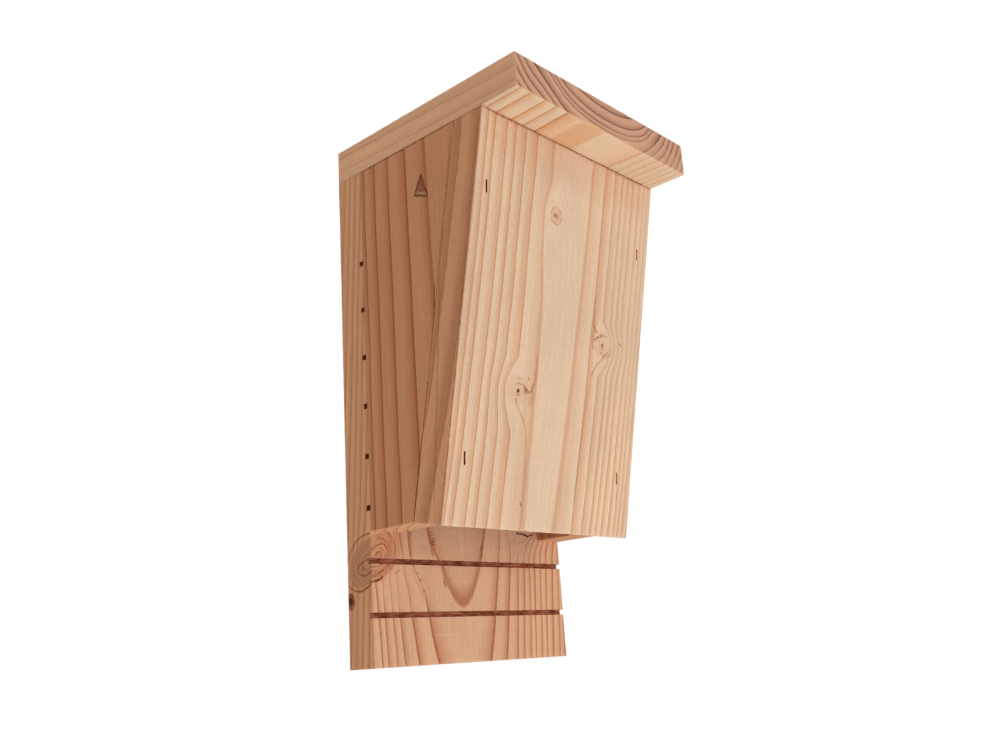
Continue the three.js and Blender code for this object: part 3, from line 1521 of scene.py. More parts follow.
@dataclass
class StapleSeats:
    """The pockets that the staples' crowns lie in."""

    crown_width: float = 7.6
    wire_width: float = 1.4
    depth: float = 2.0
    overrun: float = 2.0
    corner: float = 0.45
    step: float = 1.3
    lift: float = 1.0
    fray: float = 0.12
    seed: int = 1

    def seat(self, staple: Piece, crown: Point, outward: Point) -> Matrix:
        """Finds where a staple's pocket goes.

        Args:
            staple: the staple.
            crown: roughly the direction of its crown.
            outward: the direction out of the wood.

        Returns:
            The pocket's place, over the middle of the crown.
        """
        out = Vector(outward)
        places = [v.co for v in staple.data.vertices]
        top = max(p.dot(out) for p in places)
        crown_top = [p for p in places if p.dot(out) > top - TOUCH * MM]
        middle = sum(crown_top, Vector()) / len(crown_top)
        head = [p for p in crown_top if (p - middle).dot(Vector(crown)) > 0.0]
        across = (sum(head, Vector()) / len(head) - middle).normalized()
        turn = Matrix((across, out, across.cross(out))).transposed()
        return Matrix.Translation(middle + out * (self.lift * MM)) @ turn.to_4x4()

    def cutter(self, staples: Sequence[Piece], crown: Point, outward: Point) -> Piece:
        """Models one pocket and copies it to each staple.

        Args:
            staples: the staples that the pockets are for.
            crown: roughly the direction of the crowns.
            outward: the direction out of the wood.

        Returns:
            One cutter for all of them.
        """
        half, wire = self.crown_width / 2, self.wire_width / 2
        first = Workshop.block("slot_cutter", (-half, -self.depth, -wire), (half, self.overrun, wire))
        Workshop.divide(first, RIGHT, self.step)
        with Workshop.editing(first):
            Workshop.pick_edges(
                first,
                lambda e: Workshop.runs_along(e, REAR)
                and abs(e.verts[0].co.x) > (half - BRINK) * MM,
            )
            bpy.ops.mesh.bevel(offset=self.corner * MM, segments=2, affect="EDGES")
        places = [self.seat(staple, crown, outward) for staple in staples]
        return Workshop.repeat(first, places, self.fray, self.seed)


@dataclass
class Board:
    """One board of the box. Each kind of board says how its blank is sawn and how it lies."""

    layout: Layout
    name: str
    node: str
    slot: str
    finish: WoodFinish
    seed: int
    arris: float = 0.5
    fray: float = 0.1
    spacing: float = 3.0
    piece: Piece | None = field(default=None, init=False)

    def axes(self) -> BoardAxes:
        """Says how the board's own axes lie in the box."""
        raise NotImplementedError

    def corners(self) -> tuple[Point, Point]:
        """Gives the lowest and the highest corner of the blank, in millimetres."""
        raise NotImplementedError

    def trim(self) -> None:
        """Saws the blank to its shape, where it isn't square."""

    def hang(self) -> None:
        """Sets the board in its place, where it isn't sawn there."""

    def work(self, stock: Stock) -> None:
        """Cuts what is cut into the board after it is sawn."""

    def make(self, stock: Stock) -> None:
        """Makes the board and dresses it.

        Args:
            stock: what it is dressed with.
        """
        self.piece = Workshop.block(self.name, *self.corners())
        self.trim()
        for axis in (UP, RIGHT, REAR):
            Workshop.divide(self.piece, axis, self.spacing)
        Workshop.wear_arrises(self.piece, self.arris, self.fray, self.seed)
        self.hang()
        wood = WoodSurface(self.finish, self.axes(), stock.effects).build()
        self.piece.data.materials.append(wood)
        self.work(stock)
        Workshop.finish(self.piece)
        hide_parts(self.node)
        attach(self.piece, "root")
        LOG.info("%s: %d faces", self.name, len(self.piece.data.polygons))

    def cut_slots(
        self, names: Sequence[str], crown: Point, outward: Point, walls: bpy.types.Material
    ) -> None:
        """Cuts the pockets of some staples.

        Args:
            names: the staples' nodes.
            crown: the direction of the crowns.
            outward: the direction out of the wood.
            walls: the pockets' material.
        """
        staples = [frame["nodes"][name] for name in names]
        Workshop.cut_out(self.piece, StapleSeats().cutter(staples, crown, outward), walls)


@dataclass
class BackBoard(Board):
    """The upright back board with its saw kerfs and its landing."""

    kerf_height: float = 3.2
    kerf_depth: float = 3.0
    kerf_overrun: float = 3.0
    kerf_step: float = 2.2
    kerf_fray: float = 0.13
    kerf_seed: int = 5

    def axes(self) -> BoardAxes:
        """Says how the board's own axes lie in the box.

        Returns:
            The axes.
        """
        box = self.layout
        half = (box.half_width, box.thickness / 2, (box.head - box.foot) / 2)
        shift = (0.0, box.thickness, -box.foot)
        return BoardAxes((0.0, 0.0, 0.0), shift, UP, RIGHT, (0.0, *half[1:]), half)

    def corners(self) -> tuple[Point, Point]:
        """Gives the lowest and the highest corner of the blank, in millimetres."""
        box = self.layout
        return (-box.half_width, -box.thickness, box.foot), (box.half_width, 0.0, box.head)

    def kerf_places(self) -> list[Matrix]:
        """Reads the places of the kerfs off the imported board.

        Returns:
            Where the middle of each kerf is.
        """
        floor = -self.layout.thickness + self.kerf_depth
        spots = [v.co / MM for v in frame["nodes"][self.node].data.vertices]
        levels = sorted({round(spot.z, 2) for spot in spots if abs(spot.y - floor) < TOUCH})
        heights = [(low + high) / 2 for low, high in zip(levels[::2], levels[1::2])]
        return [Matrix.Translation((0.0, 0.0, height * MM)) for height in heights]

    def work(self, stock: Stock) -> None:
        """Saws the kerfs, and cuts the staples' pockets in the rear face.

        Args:
            stock: the looks of the cut walls.
        """
        half, high = self.layout.half_width + self.kerf_overrun, self.kerf_height / 2
        face = -self.layout.thickness
        low_corner = (-half, face - self.kerf_overrun, -high)
        first = Workshop.block("kerf_cutter", low_corner, (half, face + self.kerf_depth, high))
        Workshop.divide(first, RIGHT, self.kerf_step)
        saw = Workshop.repeat(first, self.kerf_places(), self.kerf_fray, self.kerf_seed)
        Workshop.cut_out(self.piece, saw, stock.kerf)
        names = [f"back_staple_{side}_{row}" for side in SIDES for row in (1, 2, 3)]
        self.cut_slots(names, UP, REAR, stock.slot)


@dataclass
class SidePanel(Board):
    """A tapered side panel: upright at the back, sloping at the front."""

    side: int = -1

    def axes(self) -> BoardAxes:
        """Says how the board's own axes lie in the box.

        Returns:
            The axes.
        """
        box = self.layout
        return BoardAxes(
            rotation=(0.0, 0.0, -math.pi / 2),
            shift=(0.0, self.side * box.half_width, -box.foot),
            grain=UP,
            across=REAR,
            middle=(
                -box.thickness - box.chamber_depth / 2,
                self.side * box.thickness / 2,
                box.landing_top - box.foot + box.rise / 2,
            ),
            half=(box.chamber_depth / 2, box.thickness / 2, box.rise / 2),
        )

    def corners(self) -> tuple[Point, Point]:
        """Gives the lowest and the highest corner of the blank, in millimetres.

        Returns:
            The two corners.
        """
        box = self.layout
        outer, inner = self.side * box.half_width, self.side * (box.half_width - box.thickness)
        low = (min(outer, inner), -box.thickness - box.chamber_depth, box.landing_top)
        return low, (max(outer, inner), -box.thickness, box.head)

    def trim(self) -> None:
        """Saws the panel's sloping edge."""
        box = self.layout
        corner = (0.0, -box.thickness - box.entrance_depth, box.landing_top)
        Workshop.saw_off(self.piece, corner, (0.0, -math.cos(box.lean), -math.sin(box.lean)))


@dataclass
class FrontBoard(Board):
    """The front board, which leans out over the panels' sloping edges."""

    joint: float = 0.06
    allowance: float = 2.0

    def origin(self) -> Vector:
        """Finds the foot of the outer face, at its middle.

        Returns:
            The place, in millimetres.
        """
        box = self.layout
        depth = box.thickness + box.seat_gap
        front = -box.thickness - box.entrance_depth - depth * math.cos(box.lean)
        return Vector((0.0, front, box.landing_top - depth * math.sin(box.lean)))

    def grain(self) -> Point:
        """Gives the direction in which the board leans up."""
        return 0.0, -math.sin(self.layout.lean), math.cos(self.layout.lean)

    def axes(self) -> BoardAxes:
        """Says how the board's own axes lie in the box.

        Returns:
            The axes.
        """
        box = self.layout
        turn = (-box.lean, 0.0, 0.0)
        shift = tuple(-(Euler(turn).to_matrix() @ self.origin()))
        half = (box.half_width, box.thickness / 2, box.front_length / 2)
        return BoardAxes(turn, shift, self.grain(), RIGHT, (0.0, *half[1:]), half)

    def corners(self) -> tuple[Point, Point]:
        """Gives the lowest and the highest corner of the upright blank, in millimetres.

        Returns:
            The two corners.
        """
        box = self.layout
        depth = box.thickness + box.seat_gap - self.joint
        high = (box.half_width, depth, box.front_length + self.allowance)
        return (-box.half_width, 0.0, 0.0), high

    def trim(self) -> None:
        """Saws the head, which is level once the board leans."""
        box = self.layout
        level = (0.0, math.sin(box.lean), math.cos(box.lean))
        Workshop.saw_off(self.piece, (0.0, 0.0, box.front_length), level)

    def hang(self) -> None:
        """Leans the board in its place."""
        lean = Matrix.Rotation(self.layout.lean, 4, "X")
        Workshop.place(self.piece, Matrix.Translation(self.origin() * MM) @ lean)

    def work(self, stock: Stock) -> None:
        """Cuts the pockets of the four staples; the right-hand ones get paler walls, which paint
        light.

        Args:
            stock: the looks of the cut walls.
        """
        lean = self.layout.lean
        out = (0.0, -math.cos(lean), -math.sin(lean))
        # The right-hand pockets get the paler walls: painted light where the lamp falls on them.
        for side, walls in zip(SIDES, (stock.slot, stock.painted_lit_slot)):
            names = [f"front_staple_{row}_{side}" for row in ("upper", "lower")]
            self.cut_slots(names, self.grain(), out, walls)


@dataclass
class RoofBoard(Board):
    """The level roof, with its end grain over the front."""

    def axes(self) -> BoardAxes:
        """Says how the board's own axes lie in the box.

        Returns:
            The axes.
        """
        box = self.layout
        half = (box.half_width, box.thickness / 2, -box.roof_front / 2)
        turn, shift = (-math.pi / 2, 0.0, 0.0), (0.0, -box.head, 0.0)
        return BoardAxes(turn, shift, REAR, RIGHT, (0.0, *half[1:]), half)

    def corners(self) -> tuple[Point, Point]:
        """Gives the lowest and the highest corner of the blank, in millimetres.

        Returns:
            The two corners.
        """
        box = self.layout
        low = (-box.half_width, box.roof_front, box.head)
        return low, (box.half_width, 0.0, box.head + box.thickness)

    def work(self, stock: Stock) -> None:
        """Cuts the pockets of the six staples.

        Args:
            stock: the looks of the cut walls.
        """
        for rows, crown in ((("rear", "front"), REAR), (("middle",), RIGHT)):
            names = [f"roof_staple_{side}_{row}" for side in SIDES for row in rows]
            self.cut_slots(names, crown, UP, stock.slot)

FRONT_FINISH = WoodFinish(
    name="front_board_wood",
    log=LogSection(
        pith_across=0.0, pith_depth=-46.5,
        radii=((48.2, 0.0), (56.6, 1.0), (65.0, 2.0), (73.4, 3.0), (81.8, 4.0), (123.8, 9.0)),
        marks=(
            (-82.2, 7.0), (-76.3, 6.0), (-70.4, 5.0), (-60.4, 4.0), (-52.6, 3.0), (-43.8, 2.0),
            (-33.6, 1.0), (-17.5, 0.0), (18.6, 0.0), (32.2, 1.0), (42.2, 2.0), (49.8, 3.0),
            (55.5, 4.0), (61.5, 5.0), (68.0, 6.0), (73.5, 7.0), (78.0, 8.0), (82.5, 9.0),
        ),
        datum=225.0, growth=Growth.INWARD, bow=0.000109, taper=0.0059,
    ),
    colours=WoodColours(
        early=(223, 192, 162), late=(212, 165, 128), line=(193, 131, 92), knot=(208, 148, 108),
        grain=(162, 78, 34), heart=(92, 30, 8), worn=(232, 202, 172), end=(200, 150, 120),
        end_line=(150, 98, 72), edge=(228, 166, 124),
    ),
    late_start=0.22, late_full=0.8, core_strength=0.5,
    faint=(FaintMark((72.0, 0.0, 165.0), (34.0, 200.0, 110.0), 0.6),), arris_width=1.1,
    arris_strength=0.3, seed=3.0,
    knots=(
        KnotMark(
            centre=(-12.0, 0.0, 189.5), radius=5.2, stretch=(1.0, 1.0, 0.95), left_parting=8.5,
            right_parting=2.0, reach_up=22.0, reach_down=60.0, ring_gap=1.6, heart_radius=1.6,
            body_strength=0.3, ring_strength=0.3, rim_strength=0.5, heart_strength=0.14,
        ),
        KnotMark(
            centre=(-32.3, 0.0, 79.8), radius=8.5, left_parting=10.8, right_parting=3.0,
            reach_up=20.5, reach_down=27.0, ring_gap=1.5, heart_radius=1.3, body_strength=0.16,
            ring_strength=0.34, rim_strength=0.05, heart_strength=0.95,
        ),
        KnotMark(
            centre=(42.6, 0.0, 119.4), radius=8.0, parting_shift=-4.2, left_parting=4.0,
            right_parting=12.8, reach_up=16.5, reach_down=21.5, ring_gap=1.5, heart_radius=1.0,
            body_strength=0.14, ring_strength=0.34, rim_strength=0.05, heart_strength=0.95,
        ),
    ),
    strokes=strokes(
        (-18.4, 102.0, -18.3, 85.0, 2.6, 3.4, 0.42, 0.3),
        (-18.2, 86.0, -20.5, 80.6, 3.2, 3.8, 0.6, -0.8),
        (-19.6, 80.6, -24.2, 79.4, 3.4, 3.2, 0.75, -0.5),
        (-23.6, 79.3, -28.6, 83.6, 3.6, 1.8, 0.9, -0.2),
        (-26.8, 82.4, -26.0, 78.4, 3.8, 2.8, 0.8),
        (-19.8, 80.0, -21.4, 72.0, 8.0, 6.0, 0.3),
        (-28.0, 83.5, -34.6, 82.9, 1.6, 1.2, 0.45, -0.5),
        (-33.8, 77.2, -30.6, 77.2, 3.4, 3.0, 0.6),
        (-34.2, 75.0, -32.2, 70.8, 2.6, 2.8, 0.5, 0.3),
        (-32.4, 70.8, -22.8, 58.0, 2.4, 2.0, 0.44, 0.9),
        (-22.8, 58.5, -20.6, 0.0, 2.0, 1.8, 0.44, 1.2),
        (-24.9, 89.2, -23.6, 87.2, 2.0, 1.6, 0.75),
        (-32.8, 87.2, -31.0, 86.7, 1.4, 1.2, 0.6),
        (-20.6, 92.4, -19.4, 91.2, 1.5, 1.3, 0.6),
        (32.0, 150.0, 32.4, 131.0, 2.0, 2.6, 0.5, 0.1),
        (32.4, 132.0, 36.6, 126.4, 2.8, 2.0, 0.9, -0.9),
        (33.0, 121.4, 41.6, 125.6, 1.8, 2.8, 0.85, 0.2),
        (40.8, 125.6, 46.4, 125.3, 2.0, 1.2, 0.5, 0.3),
        (32.6, 128.0, 33.0, 115.0, 4.6, 3.4, 0.36),
        (40.4, 114.8, 43.0, 113.8, 2.2, 1.8, 0.6),
        (41.2, 117.6, 43.8, 117.4, 2.0, 1.8, 0.55),
        (43.4, 111.8, 48.6, 116.4, 2.4, 1.4, 0.66, -0.4),
        (46.6, 111.4, 51.6, 117.0, 1.9, 1.2, 0.5, -0.7),
        (45.2, 112.0, 33.2, 97.4, 1.8, 1.8, 0.5, -1.4),
        (33.4, 98.0, 26.4, 20.0, 1.7, 1.5, 0.45, -0.8),
        (59.0, 123.7, 62.6, 122.1, 1.9, 1.6, 0.85, 0.3),
        (-14.8, 189.8, -10.0, 189.4, 4.2, 4.6, 0.6),
        (-22.1, 16.4, -21.4, 13.8, 1.6, 1.5, 0.8),
        (-25.2, 12.4, -24.6, 11.4, 1.4, 1.2, 0.8),
        (-51.4, 117.4, -50.4, 116.4, 1.4, 1.2, 0.8),
        # The joint line under the roof: partly torn fibres, partly painted shade of the gap between
        # the boards.
        (-83.0, 234.4, 83.0, 234.4, 3.4, 3.4, 1.3),
        (-83.6, 0.0, -83.6, 235.0, 2.8, 2.8, 0.8),
        # A broad faint band across the head: painted shade under the roof's overhang.
        (-83.0, 226.0, 83.0, 226.0, 50.0, 50.0, 0.17),
        (-79.0, 0.0, -79.0, 235.0, 22.0, 22.0, 0.1),
    )
    + strokes(
        (6.5, 5.0, 21.5, 145.0, 1.6, 2.2, 0.45),
        (1.0, 70.0, 1.0, 235.0, 4.0, 7.0, 0.3),
        edge=-83.0,
    ),
)

BACK_FINISH = WoodFinish(
    name="back_board_wood",
    log=LogSection(
        pith_across=-13.0, pith_depth=95.0,
        radii=((93.9, 0.0), (97.8, 1.0), (101.7, 2.0), (105.6, 3.0), (136.8, 11.0)),
        marks=(
            (-84.5, 6.9), (-78.5, 6.0), (-74.0, 5.0), (-67.5, 4.0), (-61.5, 3.0), (-51.5, 2.0),
            (-37.5, 1.0), (13.5, 1.0), (27.0, 2.0), (36.8, 3.0), (43.0, 4.0), (49.5, 5.0),
            (53.8, 6.0), (60.0, 7.0), (65.0, 8.0), (71.5, 9.0), (78.0, 10.0), (83.0, 11.0),
        ),
        datum=10.0, taper=0.052,
    ),
    colours=WoodColours(
        early=(215, 167, 133), late=(186, 121, 88), line=(160, 93, 61), knot=(201, 146, 110),
        grain=(150, 70, 34), heart=(98, 38, 18), worn=(226, 182, 146), end=(196, 146, 116),
        end_line=(140, 86, 62), edge=(231, 171, 128),
    ),
    late_start=0.32, late_full=1.0, core_strength=0.8,
    faint=(
        FaintMark((-57.0, 0.0, 46.0), (24.0, 200.0, 21.0), 0.3),
        FaintMark((34.0, 0.0, 72.0), (32.0, 200.0, 14.0), 0.35),
        FaintMark((-12.5, 0.0, 66.0), (17.5, 200.0, 26.0), 0.3),
        FaintMark((-84.0, 11.0, 75.0), (3.0, 300.0, 400.0), 0.45),
        FaintMark((-84.0, 11.0, 57.0), (3.0, 14.0, 17.0), 0.9),
    ),
    arris_width=1.1, arris_strength=0.2, seed=8.0,
    knots=(
        KnotMark(
            centre=(-78.6, 0.0, 60.4), radius=11.6, direction=(-0.55, 0.7, -0.45), straightness=0.8,
            stretch=(1.0, 1.0, 1.0), left_parting=9.0, right_parting=9.0, reach_up=28.0,
            reach_down=13.0, depth_share=1.0, ring_gap=2.4, heart_radius=1.9, body_strength=0.85,
            ring_strength=0.5, rim_strength=0.4, heart_strength=0.0,
        ),
        KnotMark(
            centre=(-83.0, 19.0, 37.5), radius=3.3, straightness=0.0, stretch=(1.0, 0.95, 1.3),
            left_parting=0.1, right_parting=0.1, heart_radius=2.5, ring_gap=1.4, body_strength=0.6,
            ring_strength=0.8, rim_strength=1.0, heart_strength=0.95,
        ),
        KnotMark(
            centre=(-40.0, 0.0, 66.0), radius=0.0, left_parting=12.0, right_parting=0.1,
            reach_up=40.0, reach_down=26.0,
        ),
        KnotMark(
            centre=(38.0, 0.0, 86.0), radius=0.0, left_parting=6.0, right_parting=20.0,
            reach_up=24.0, reach_down=22.0,
        ),
        KnotMark(
            centre=(-24.0, 0.0, 74.0), radius=0.0, left_parting=9.8, right_parting=0.1,
            reach_up=40.0, reach_down=20.0,
        ),
    ),
    strokes=strokes(
        (0.0, 46.8, 21.0, 46.4, 2.2, 1.5, 1.0, -4.2),
        (20.4, 60.0, 0.0, 73.8, 1.4, 2.0, 0.9, -4.8),
        (0.0, 59.0, 13.4, 54.4, 2.2, 1.5, 0.9, 2.0),
        (13.5, 54.6, 0.0, 53.2, 1.5, 1.9, 0.9, 3.0),
        edge=-83.0,
    )
    + strokes(
        (-84.0, 63.6, -75.2, 68.3, 1.4, 1.6, 0.95, 0.5),
        (-75.4, 68.3, -70.9, 64.2, 1.6, 1.6, 0.95, 1.1),
        (-70.9, 64.8, -71.8, 60.6, 1.6, 1.5, 0.9, 0.3),
        (-80.6, 61.2, -76.2, 63.8, 2.0, 1.8, 0.85, 0.7),
        (-77.0, 63.9, -75.4, 60.8, 1.8, 1.4, 0.7, 0.4),
        (-79.4, 61.4, -76.2, 61.8, 3.2, 3.0, 0.4),
        (-79.0, 71.4, -69.6, 66.0, 4.2, 3.0, 0.42, 2.0),
        (-69.7, 67.0, -69.4, 60.6, 2.4, 1.4, 0.55, 0.5),
        (-71.5, 75.0, -65.4, 68.0, 3.0, 1.8, 0.6, 1.3),
        (-65.4, 69.0, -66.0, 60.6, 1.6, 1.0, 0.55, 0.4),
        (-64.0, 75.4, -62.2, 60.6, 3.0, 1.6, 0.45, 0.8),
        (-84.0, 54.9, -72.8, 57.7, 1.2, 1.0, 0.85, -0.6),
        (-83.0, 52.4, -70.6, 57.7, 1.3, 1.1, 0.5, -0.9),
        (-84.4, 49.8, -69.2, 57.6, 3.4, 2.0, 0.8, -1.5),
        (-77.0, 49.6, -67.2, 57.0, 1.6, 1.0, 0.5, -0.7),
        (-66.0, 51.0, -61.5, 53.6, 1.3, 0.7, 0.6, 0.3),
        (-39.4, 79.8, -34.8, 62.0, 2.4, 3.4, 0.65, -0.3),
        (-27.6, 57.6, -24.6, 44.0, 4.2, 4.0, 0.35, -0.8),
        (-53.0, 77.0, -53.2, 61.0, 5.6, 4.6, 0.4),
        (-51.6, 56.9, -50.2, 55.6, 1.3, 1.2, 0.7),
        (-49.4, 52.5, -47.4, 52.1, 1.3, 1.1, 0.9),
        (-47.3, 48.2, -45.6, 47.7, 1.5, 1.2, 1.0),
        (-44.8, 41.2, -43.0, 42.1, 1.2, 1.0, 0.85),
        (-53.4, 57.4, -42.8, 37.0, 2.0, 2.0, 0.3, -1.2),
        (10.2, 80.0, 6.4, 61.0, 3.4, 2.2, 0.45, -0.3),
        (37.0, 72.4, 42.6, 77.4, 1.7, 1.3, 0.4, 0.8),
        (42.6, 73.2, 52.4, 76.8, 1.8, 1.3, 0.5, -0.7),
        (48.2, 69.4, 56.8, 77.6, 1.5, 1.4, 0.6, 0.6),
        (52.8, 64.6, 59.8, 78.2, 1.2, 1.4, 0.42, 1.0),
        (22.9, 69.4, 24.7, 69.6, 1.5, 1.2, 0.7),
    ),
    cracks=strokes(
        (-85.0, 46.4, -79.4, 47.6, 1.4, 2.2, 0.9),
        (-80.6, 47.2, -75.0, 49.9, 2.6, 1.3, 1.0, -0.5),
        (40.6, 79.3, 48.0, 78.8, 2.2, 2.2, 0.9),
        (47.4, 78.4, 52.0, 77.4, 2.6, 2.4, 1.0, 0.3),
        (51.4, 77.4, 58.0, 79.3, 2.4, 1.6, 1.0),
    ),
    flecks=(
        FleckMark(
            centre=(-34.4, 0.0, 71.5), size=(4.6, 1.0, 11.0), waves=(0.22, 0.5, 0.7), tilt=0.26,
        ),
        FleckMark(
            centre=(7.6, 0.0, 69.0), size=(2.4, 1.0, 12.0), waves=(0.4, 0.5, 0.8), tilt=-0.25,
        ),
        FleckMark(
            centre=(-26.6, 0.0, 48.0), size=(1.8, 1.0, 11.0), waves=(0.5, 0.5, 0.6), tilt=0.24,
        ),
    ),
    scratches=(
        ScratchMark(begin=-38.0, stop=-12.0, along=17.0),
        ScratchMark(begin=-22.0, stop=0.0, along=48.0),
        ScratchMark(begin=-33.0, stop=-10.0, along=77.0),
    ),
)

LEFT_PANEL_FINISH = WoodFinish(
    name="left_panel_wood",
    log=LogSection(
        pith_across=-93.0, pith_depth=-90.0,
        radii=((90.55, 0.0), (94.6, 1.0), (100.8, 2.0), (107.3, 3.0), (113.0, 4.0), (119.0, 5.0)),
        marks=(
            (-110.0, 1.0), (-103.0, 0.0), (-83.0, 0.0), (-64.5, 1.0), (-48.3, 2.0), (-35.6, 3.0),
            (-26.0, 4.0),
        ),
        datum=195.0, growth=Growth.INWARD, taper=0.003,
    ),
    # The grain and heart colours also paint the shade of the joints with the roof and the front board.
    colours=WoodColours(
        early=(216, 152, 111), late=(194, 118, 79), line=(162, 90, 58), knot=(172, 106, 72),
        grain=(112, 54, 32), heart=(126, 62, 34), worn=(206, 146, 106), end=(222, 170, 132),
        end_line=(186, 122, 84), edge=(210, 148, 110),
    ),
    late_start=0.35, late_full=1.0, core_strength=0.6, arris_width=1.0, arris_strength=0.15,
    seed=15.0,
    strokes=strokes(
        # The line under the roof: painted shade of the joint between panel and roof.
        (-118.5, 299.6, -21.5, 299.6, 2.0, 2.0, 1.0),
        # The seam with the front board, upper part: painted shade of the joint, drawn soft in two
        # strokes.
        (-75.4, 159.0, -105.0, 299.0, 2.6, 2.2, 0.35),
        (-86.0, 214.0, -103.0, 299.0, 1.8, 2.2, 0.4, 0.6),
        (-81.6, 192.0, -82.8, 206.0, 1.8, 1.2, 0.8),
        (-109.8, 268.4, -110.6, 267.4, 1.2, 1.0, 0.7),
        (-57.4, 274.2, -59.0, 273.4, 1.2, 1.0, 0.7),
    ),
    cracks=strokes(
        # The seam with the front board, lower part: painted shade of the joint, drawn crisp, though it
        # sits among the cracks.
        (-57.3, 75.0, -75.8, 160.0, 1.7, 1.2, 0.8),
    ),
    pocket=PocketMark(
        tip=(-75.8, 0.0, 278.6), near_foot=(-69.2, 0.0, 265.4), far_foot=(-81.4, 0.0, 260.4),
    ),
)

RIGHT_PANEL_FINISH = WoodFinish(
    name="right_panel_wood",
    log=LogSection(
        pith_across=-40.0, pith_depth=80.0,
        radii=((81.0, 0.0), (85.5, 1.0), (90.0, 2.0), (94.5, 3.0), (99.0, 4.0), (103.5, 5.0)),
        marks=(
            (-112.0, 5.0), (-101.0, 4.0), (-90.0, 3.0), (-76.0, 2.0), (-60.0, 1.0), (-24.0, 1.0),
        ),
        datum=180.0, taper=0.02,
    ),
    colours=LEFT_PANEL_FINISH.colours, arris_width=1.0, arris_strength=0.15, seed=22.0,
    knots=(KnotMark(centre=(-72.0, 0.0, 232.0), radius=5.0, ring_strength=0.4, rim_strength=0.4),),
)

ROOF_FINISH = WoodFinish(
    name="roof_board_wood",
    log=LogSection(
        pith_across=-12.0, pith_depth=70.0,
        radii=(
            (53.5, 1.0), (61.0, 2.0), (65.5, 3.0), (68.6, 4.0), (76.0, 5.0), (81.0, 6.0),
            (86.0, 7.0), (91.0, 8.0), (96.0, 9.0), (106.0, 11.0),
        ),
        marks=(
            (-80.0, 9.0), (-72.0, 8.0), (-60.0, 7.0), (-49.5, 6.0), (-39.5, 5.0), (36.5, 5.0),
            (45.0, 6.0), (53.0, 7.0), (60.5, 8.0), (66.5, 9.0), (72.5, 10.0), (78.5, 11.0),
        ),
        datum=154.0, sink=0.15, taper=0.0125,
    ),
    # Here the grain colour shows only in the joint line, which is partly painted shade.
    colours=WoodColours(
        early=(232, 203, 171), late=(223, 170, 125), line=(206, 143, 98), knot=(224, 168, 120),
        grain=(176, 84, 36), heart=(126, 70, 46), worn=(222, 178, 142), end=(212, 163, 133),
        end_line=(104, 50, 30), edge=(236, 184, 145),
    ),
    late_start=0.3, late_full=1.0, core_strength=0.5,
    faint=(
        FaintMark((50.0, 0.0, 136.0), (62.0, 14.0, 60.0), 0.45),
        FaintMark((-84.0, 11.0, 77.0), (3.0, 300.0, 300.0), 0.3),
    ),
    arris_width=1.0, arris_strength=0.35, seed=29.0,
    strokes=strokes(
        # The joint line over the front board: partly torn fibres, partly painted shade of the gap
        # between the boards.
        (-83.0, 126.8, 83.0, 126.8, 2.4, 2.4, 1.0),
    ),
    knots=(
        KnotMark(
            centre=(-13.4, 0.0, 125.0), radius=10.2, straightness=0.0, stretch=(1.0, 0.15, 9.0),
            left_parting=0.1, right_parting=0.1, body_strength=0.72, ring_strength=0.0,
            rim_strength=0.0, heart_strength=0.0,
        ),
    ),
)


@dataclass(frozen=True)
class LampPlan:
    """A soft lamp: where it stands, what it looks at, its size and its power."""

    name: str
    place: Point
    target: Point
    size: float
    watts: float
    colour: Rgb = (255.0, 255.0, 255.0)


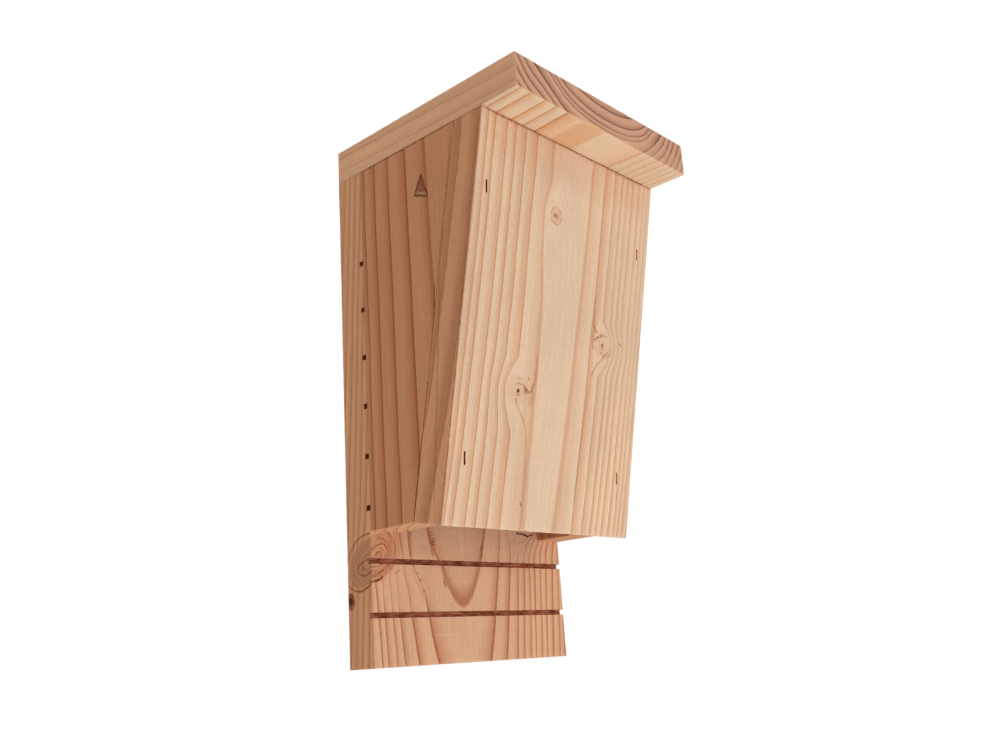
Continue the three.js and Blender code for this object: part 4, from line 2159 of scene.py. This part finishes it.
@dataclass
class Studio:
    """The camera, the soft lamps, the white surroundings and the pale floor."""

    focal_length: float = 36.66
    sensor_width: float = 36.0
    camera_place: Point = (-0.46183, -0.46729, -0.15028)
    camera_right: Point = (0.6794, -0.73092, -0.06461)
    camera_up: Point = (-0.16014, -0.23362, 0.95905)
    floor_drop: float = 0.75
    floor_size: float = 3.4
    floor_back: float = -0.2
    floor_tone: float = 0.86
    floor_roughness: float = 0.9
    ambient: float = 0.42
    lamps: tuple[LampPlan, ...] = (
        LampPlan("front_key", (0.75, -2.1, -0.05), (0.0, -0.08, 0.0), 1.5, 11.9),
        LampPlan("low_fill", (0.0, -1.25, -0.82), (0.0, -0.12, 0.05), 1.1, 7.2),
        LampPlan("under_fill", (0.1, -0.35, -0.88), (0.0, -0.12, 0.1), 0.8, 4.8),
        LampPlan("left_fill", (-2.2, -0.5, 0.3), (0.0, -0.08, 0.0), 1.4, 6.5, (255.0, 226.0, 200.0)),
    )

    def set_camera(self) -> None:
        """Sets the camera where the photographer stood."""
        data = bpy.data.cameras.new("camera")
        data.lens = self.focal_length
        data.sensor_width = self.sensor_width
        data.sensor_fit = "HORIZONTAL"
        data.clip_start = 0.01
        camera = bpy.data.objects.new("camera", data)
        bpy.context.scene.collection.objects.link(camera)
        right, up = Vector(self.camera_right).normalized(), Vector(self.camera_up)
        up = (up - right * up.dot(right)).normalized()
        turn = Matrix((right, up, right.cross(up))).transposed().to_4x4()
        camera.matrix_world = Matrix.Translation(self.camera_place) @ turn
        bpy.context.scene.camera = camera

    def hang_lamps(self) -> None:
        """Hangs the soft lamps."""
        for plan in self.lamps:
            data = bpy.data.lights.new(plan.name, "AREA")
            data.shape = "SQUARE"
            data.size = plan.size
            data.energy = plan.watts
            data.color = [part / 255.0 for part in plan.colour]
            lamp = bpy.data.objects.new(plan.name, data)
            bpy.context.scene.collection.objects.link(lamp)
            aim = Vector(plan.target) - Vector(plan.place)
            lamp.rotation_euler = aim.to_track_quat("-Z", "Y").to_euler()
            lamp.location = plan.place
            lamp.visible_camera = False

    def surround(self) -> None:
        """Puts white surroundings round the box, which light it plainly."""
        world = bpy.data.worlds.new("surroundings")
        bpy.context.scene.world = world
        world.use_nodes = True
        world.node_tree.nodes.clear()
        n = Nodes(world.node_tree)
        path = n.add("ShaderNodeLightPath").outputs
        rays = [n.signal(path[f"Is {kind} Ray"]) for kind in ("Camera", "Glossy", "Transmission")]
        seen = n.higher(n.higher(rays[0], rays[1]), rays[2])
        white = (255.0, 255.0, 255.0)
        background = n.add("ShaderNodeBackground", white, n.mix(seen, self.ambient, 1.0))
        n.add("ShaderNodeOutputWorld", n.signal(background.outputs[0]))

    def lay_floor(self) -> None:
        """Lays a pale floor well below the hanging box."""
        bpy.ops.object.select_all(action="DESELECT")
        place = (0.0, self.floor_back, Vector(CAD_BOUNDS[0]).z - self.floor_drop)
        bpy.ops.mesh.primitive_plane_add(size=self.floor_size, location=place)
        floor = bpy.context.active_object
        floor.name = "floor"
        bpy.ops.object.transform_apply(location=True, rotation=True, scale=True)
        material = bpy.data.materials.new("pale_floor")
        material.use_nodes = True
        shader = material.node_tree.nodes["Principled BSDF"]
        shader.inputs["Base Color"].default_value = (*(self.floor_tone,) * 3, 1.0)
        shader.inputs["Roughness"].default_value = self.floor_roughness
        floor.data.materials.append(material)

    def build(self) -> None:
        """Sets up the whole studio."""
        self.set_camera()
        self.hang_lamps()
        self.surround()
        self.lay_floor()
        bpy.context.scene.view_settings.view_transform = "Standard"
        LOG.info("studio: %d lamps", len(self.lamps))


def dress_staples(nodes: dict[str, Piece]) -> None:
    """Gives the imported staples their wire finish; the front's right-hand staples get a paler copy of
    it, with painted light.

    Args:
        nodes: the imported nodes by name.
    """
    dull = WireFinish("dull_wire", (122, 48, 18), (92, 30, 8)).build()
    # The paler copy paints light where the lamp falls on the front's right-hand staples.
    bright = WireFinish("painted_lit_wire", (200, 128, 82), (176, 104, 64)).build()
    for name, node in nodes.items():
        if "staple" in name:
            # The right-hand staples on the front take the paler wire, painted light.
            wire = bright if name.startswith("front_staple_") and name.endswith("_right") else dull
            for material_slot in node.material_slots:
                material_slot.material = wire
            LOG.info("%s: wire finish", name)


def main() -> None:
    """Builds the studio and the box, board by board."""
    logging.basicConfig(level=logging.INFO, format="%(name)s %(message)s")
    Studio().build()
    layout = Layout.measured(frame["nodes"])
    stock = Stock(
        WoodEffects(),
        CutWoodFinish("sawn_kerf", (194, 118, 84), (120, 60, 38), 0.3).build(),
        CutWoodFinish("staple_slot", (196, 100, 58), (150, 66, 30), 0.2).build(),
        # The paler pocket walls paint light on the right-hand staples of the front.
        CutWoodFinish("painted_lit_staple_slot", (236, 170, 122), (206, 134, 88), 0.2).build(),
    )
    back = ("back_board_timber", "back_board", "back_board_softwood", BACK_FINISH, 2)
    left = ("left_panel_timber", "left_side_panel", "side_panel_softwood", LEFT_PANEL_FINISH, 3)
    right = ("right_panel_timber", "right_side_panel", "side_panel_softwood", RIGHT_PANEL_FINISH, 4)
    front = ("front_timber", "front_board", "front_board_softwood", FRONT_FINISH, 5)
    roof = ("roof_timber", "roof_board", "roof_board_softwood", ROOF_FINISH, 6)
    boards: tuple[Board, ...] = (
        BackBoard(layout, *back),
        SidePanel(layout, *left, side=-1),
        SidePanel(layout, *right, side=1),
        FrontBoard(layout, *front),
        RoofBoard(layout, *roof),
    )
    for board in boards:
        board.make(stock)
    dress_staples(frame["nodes"])


if __name__ == "__main__":
    main()
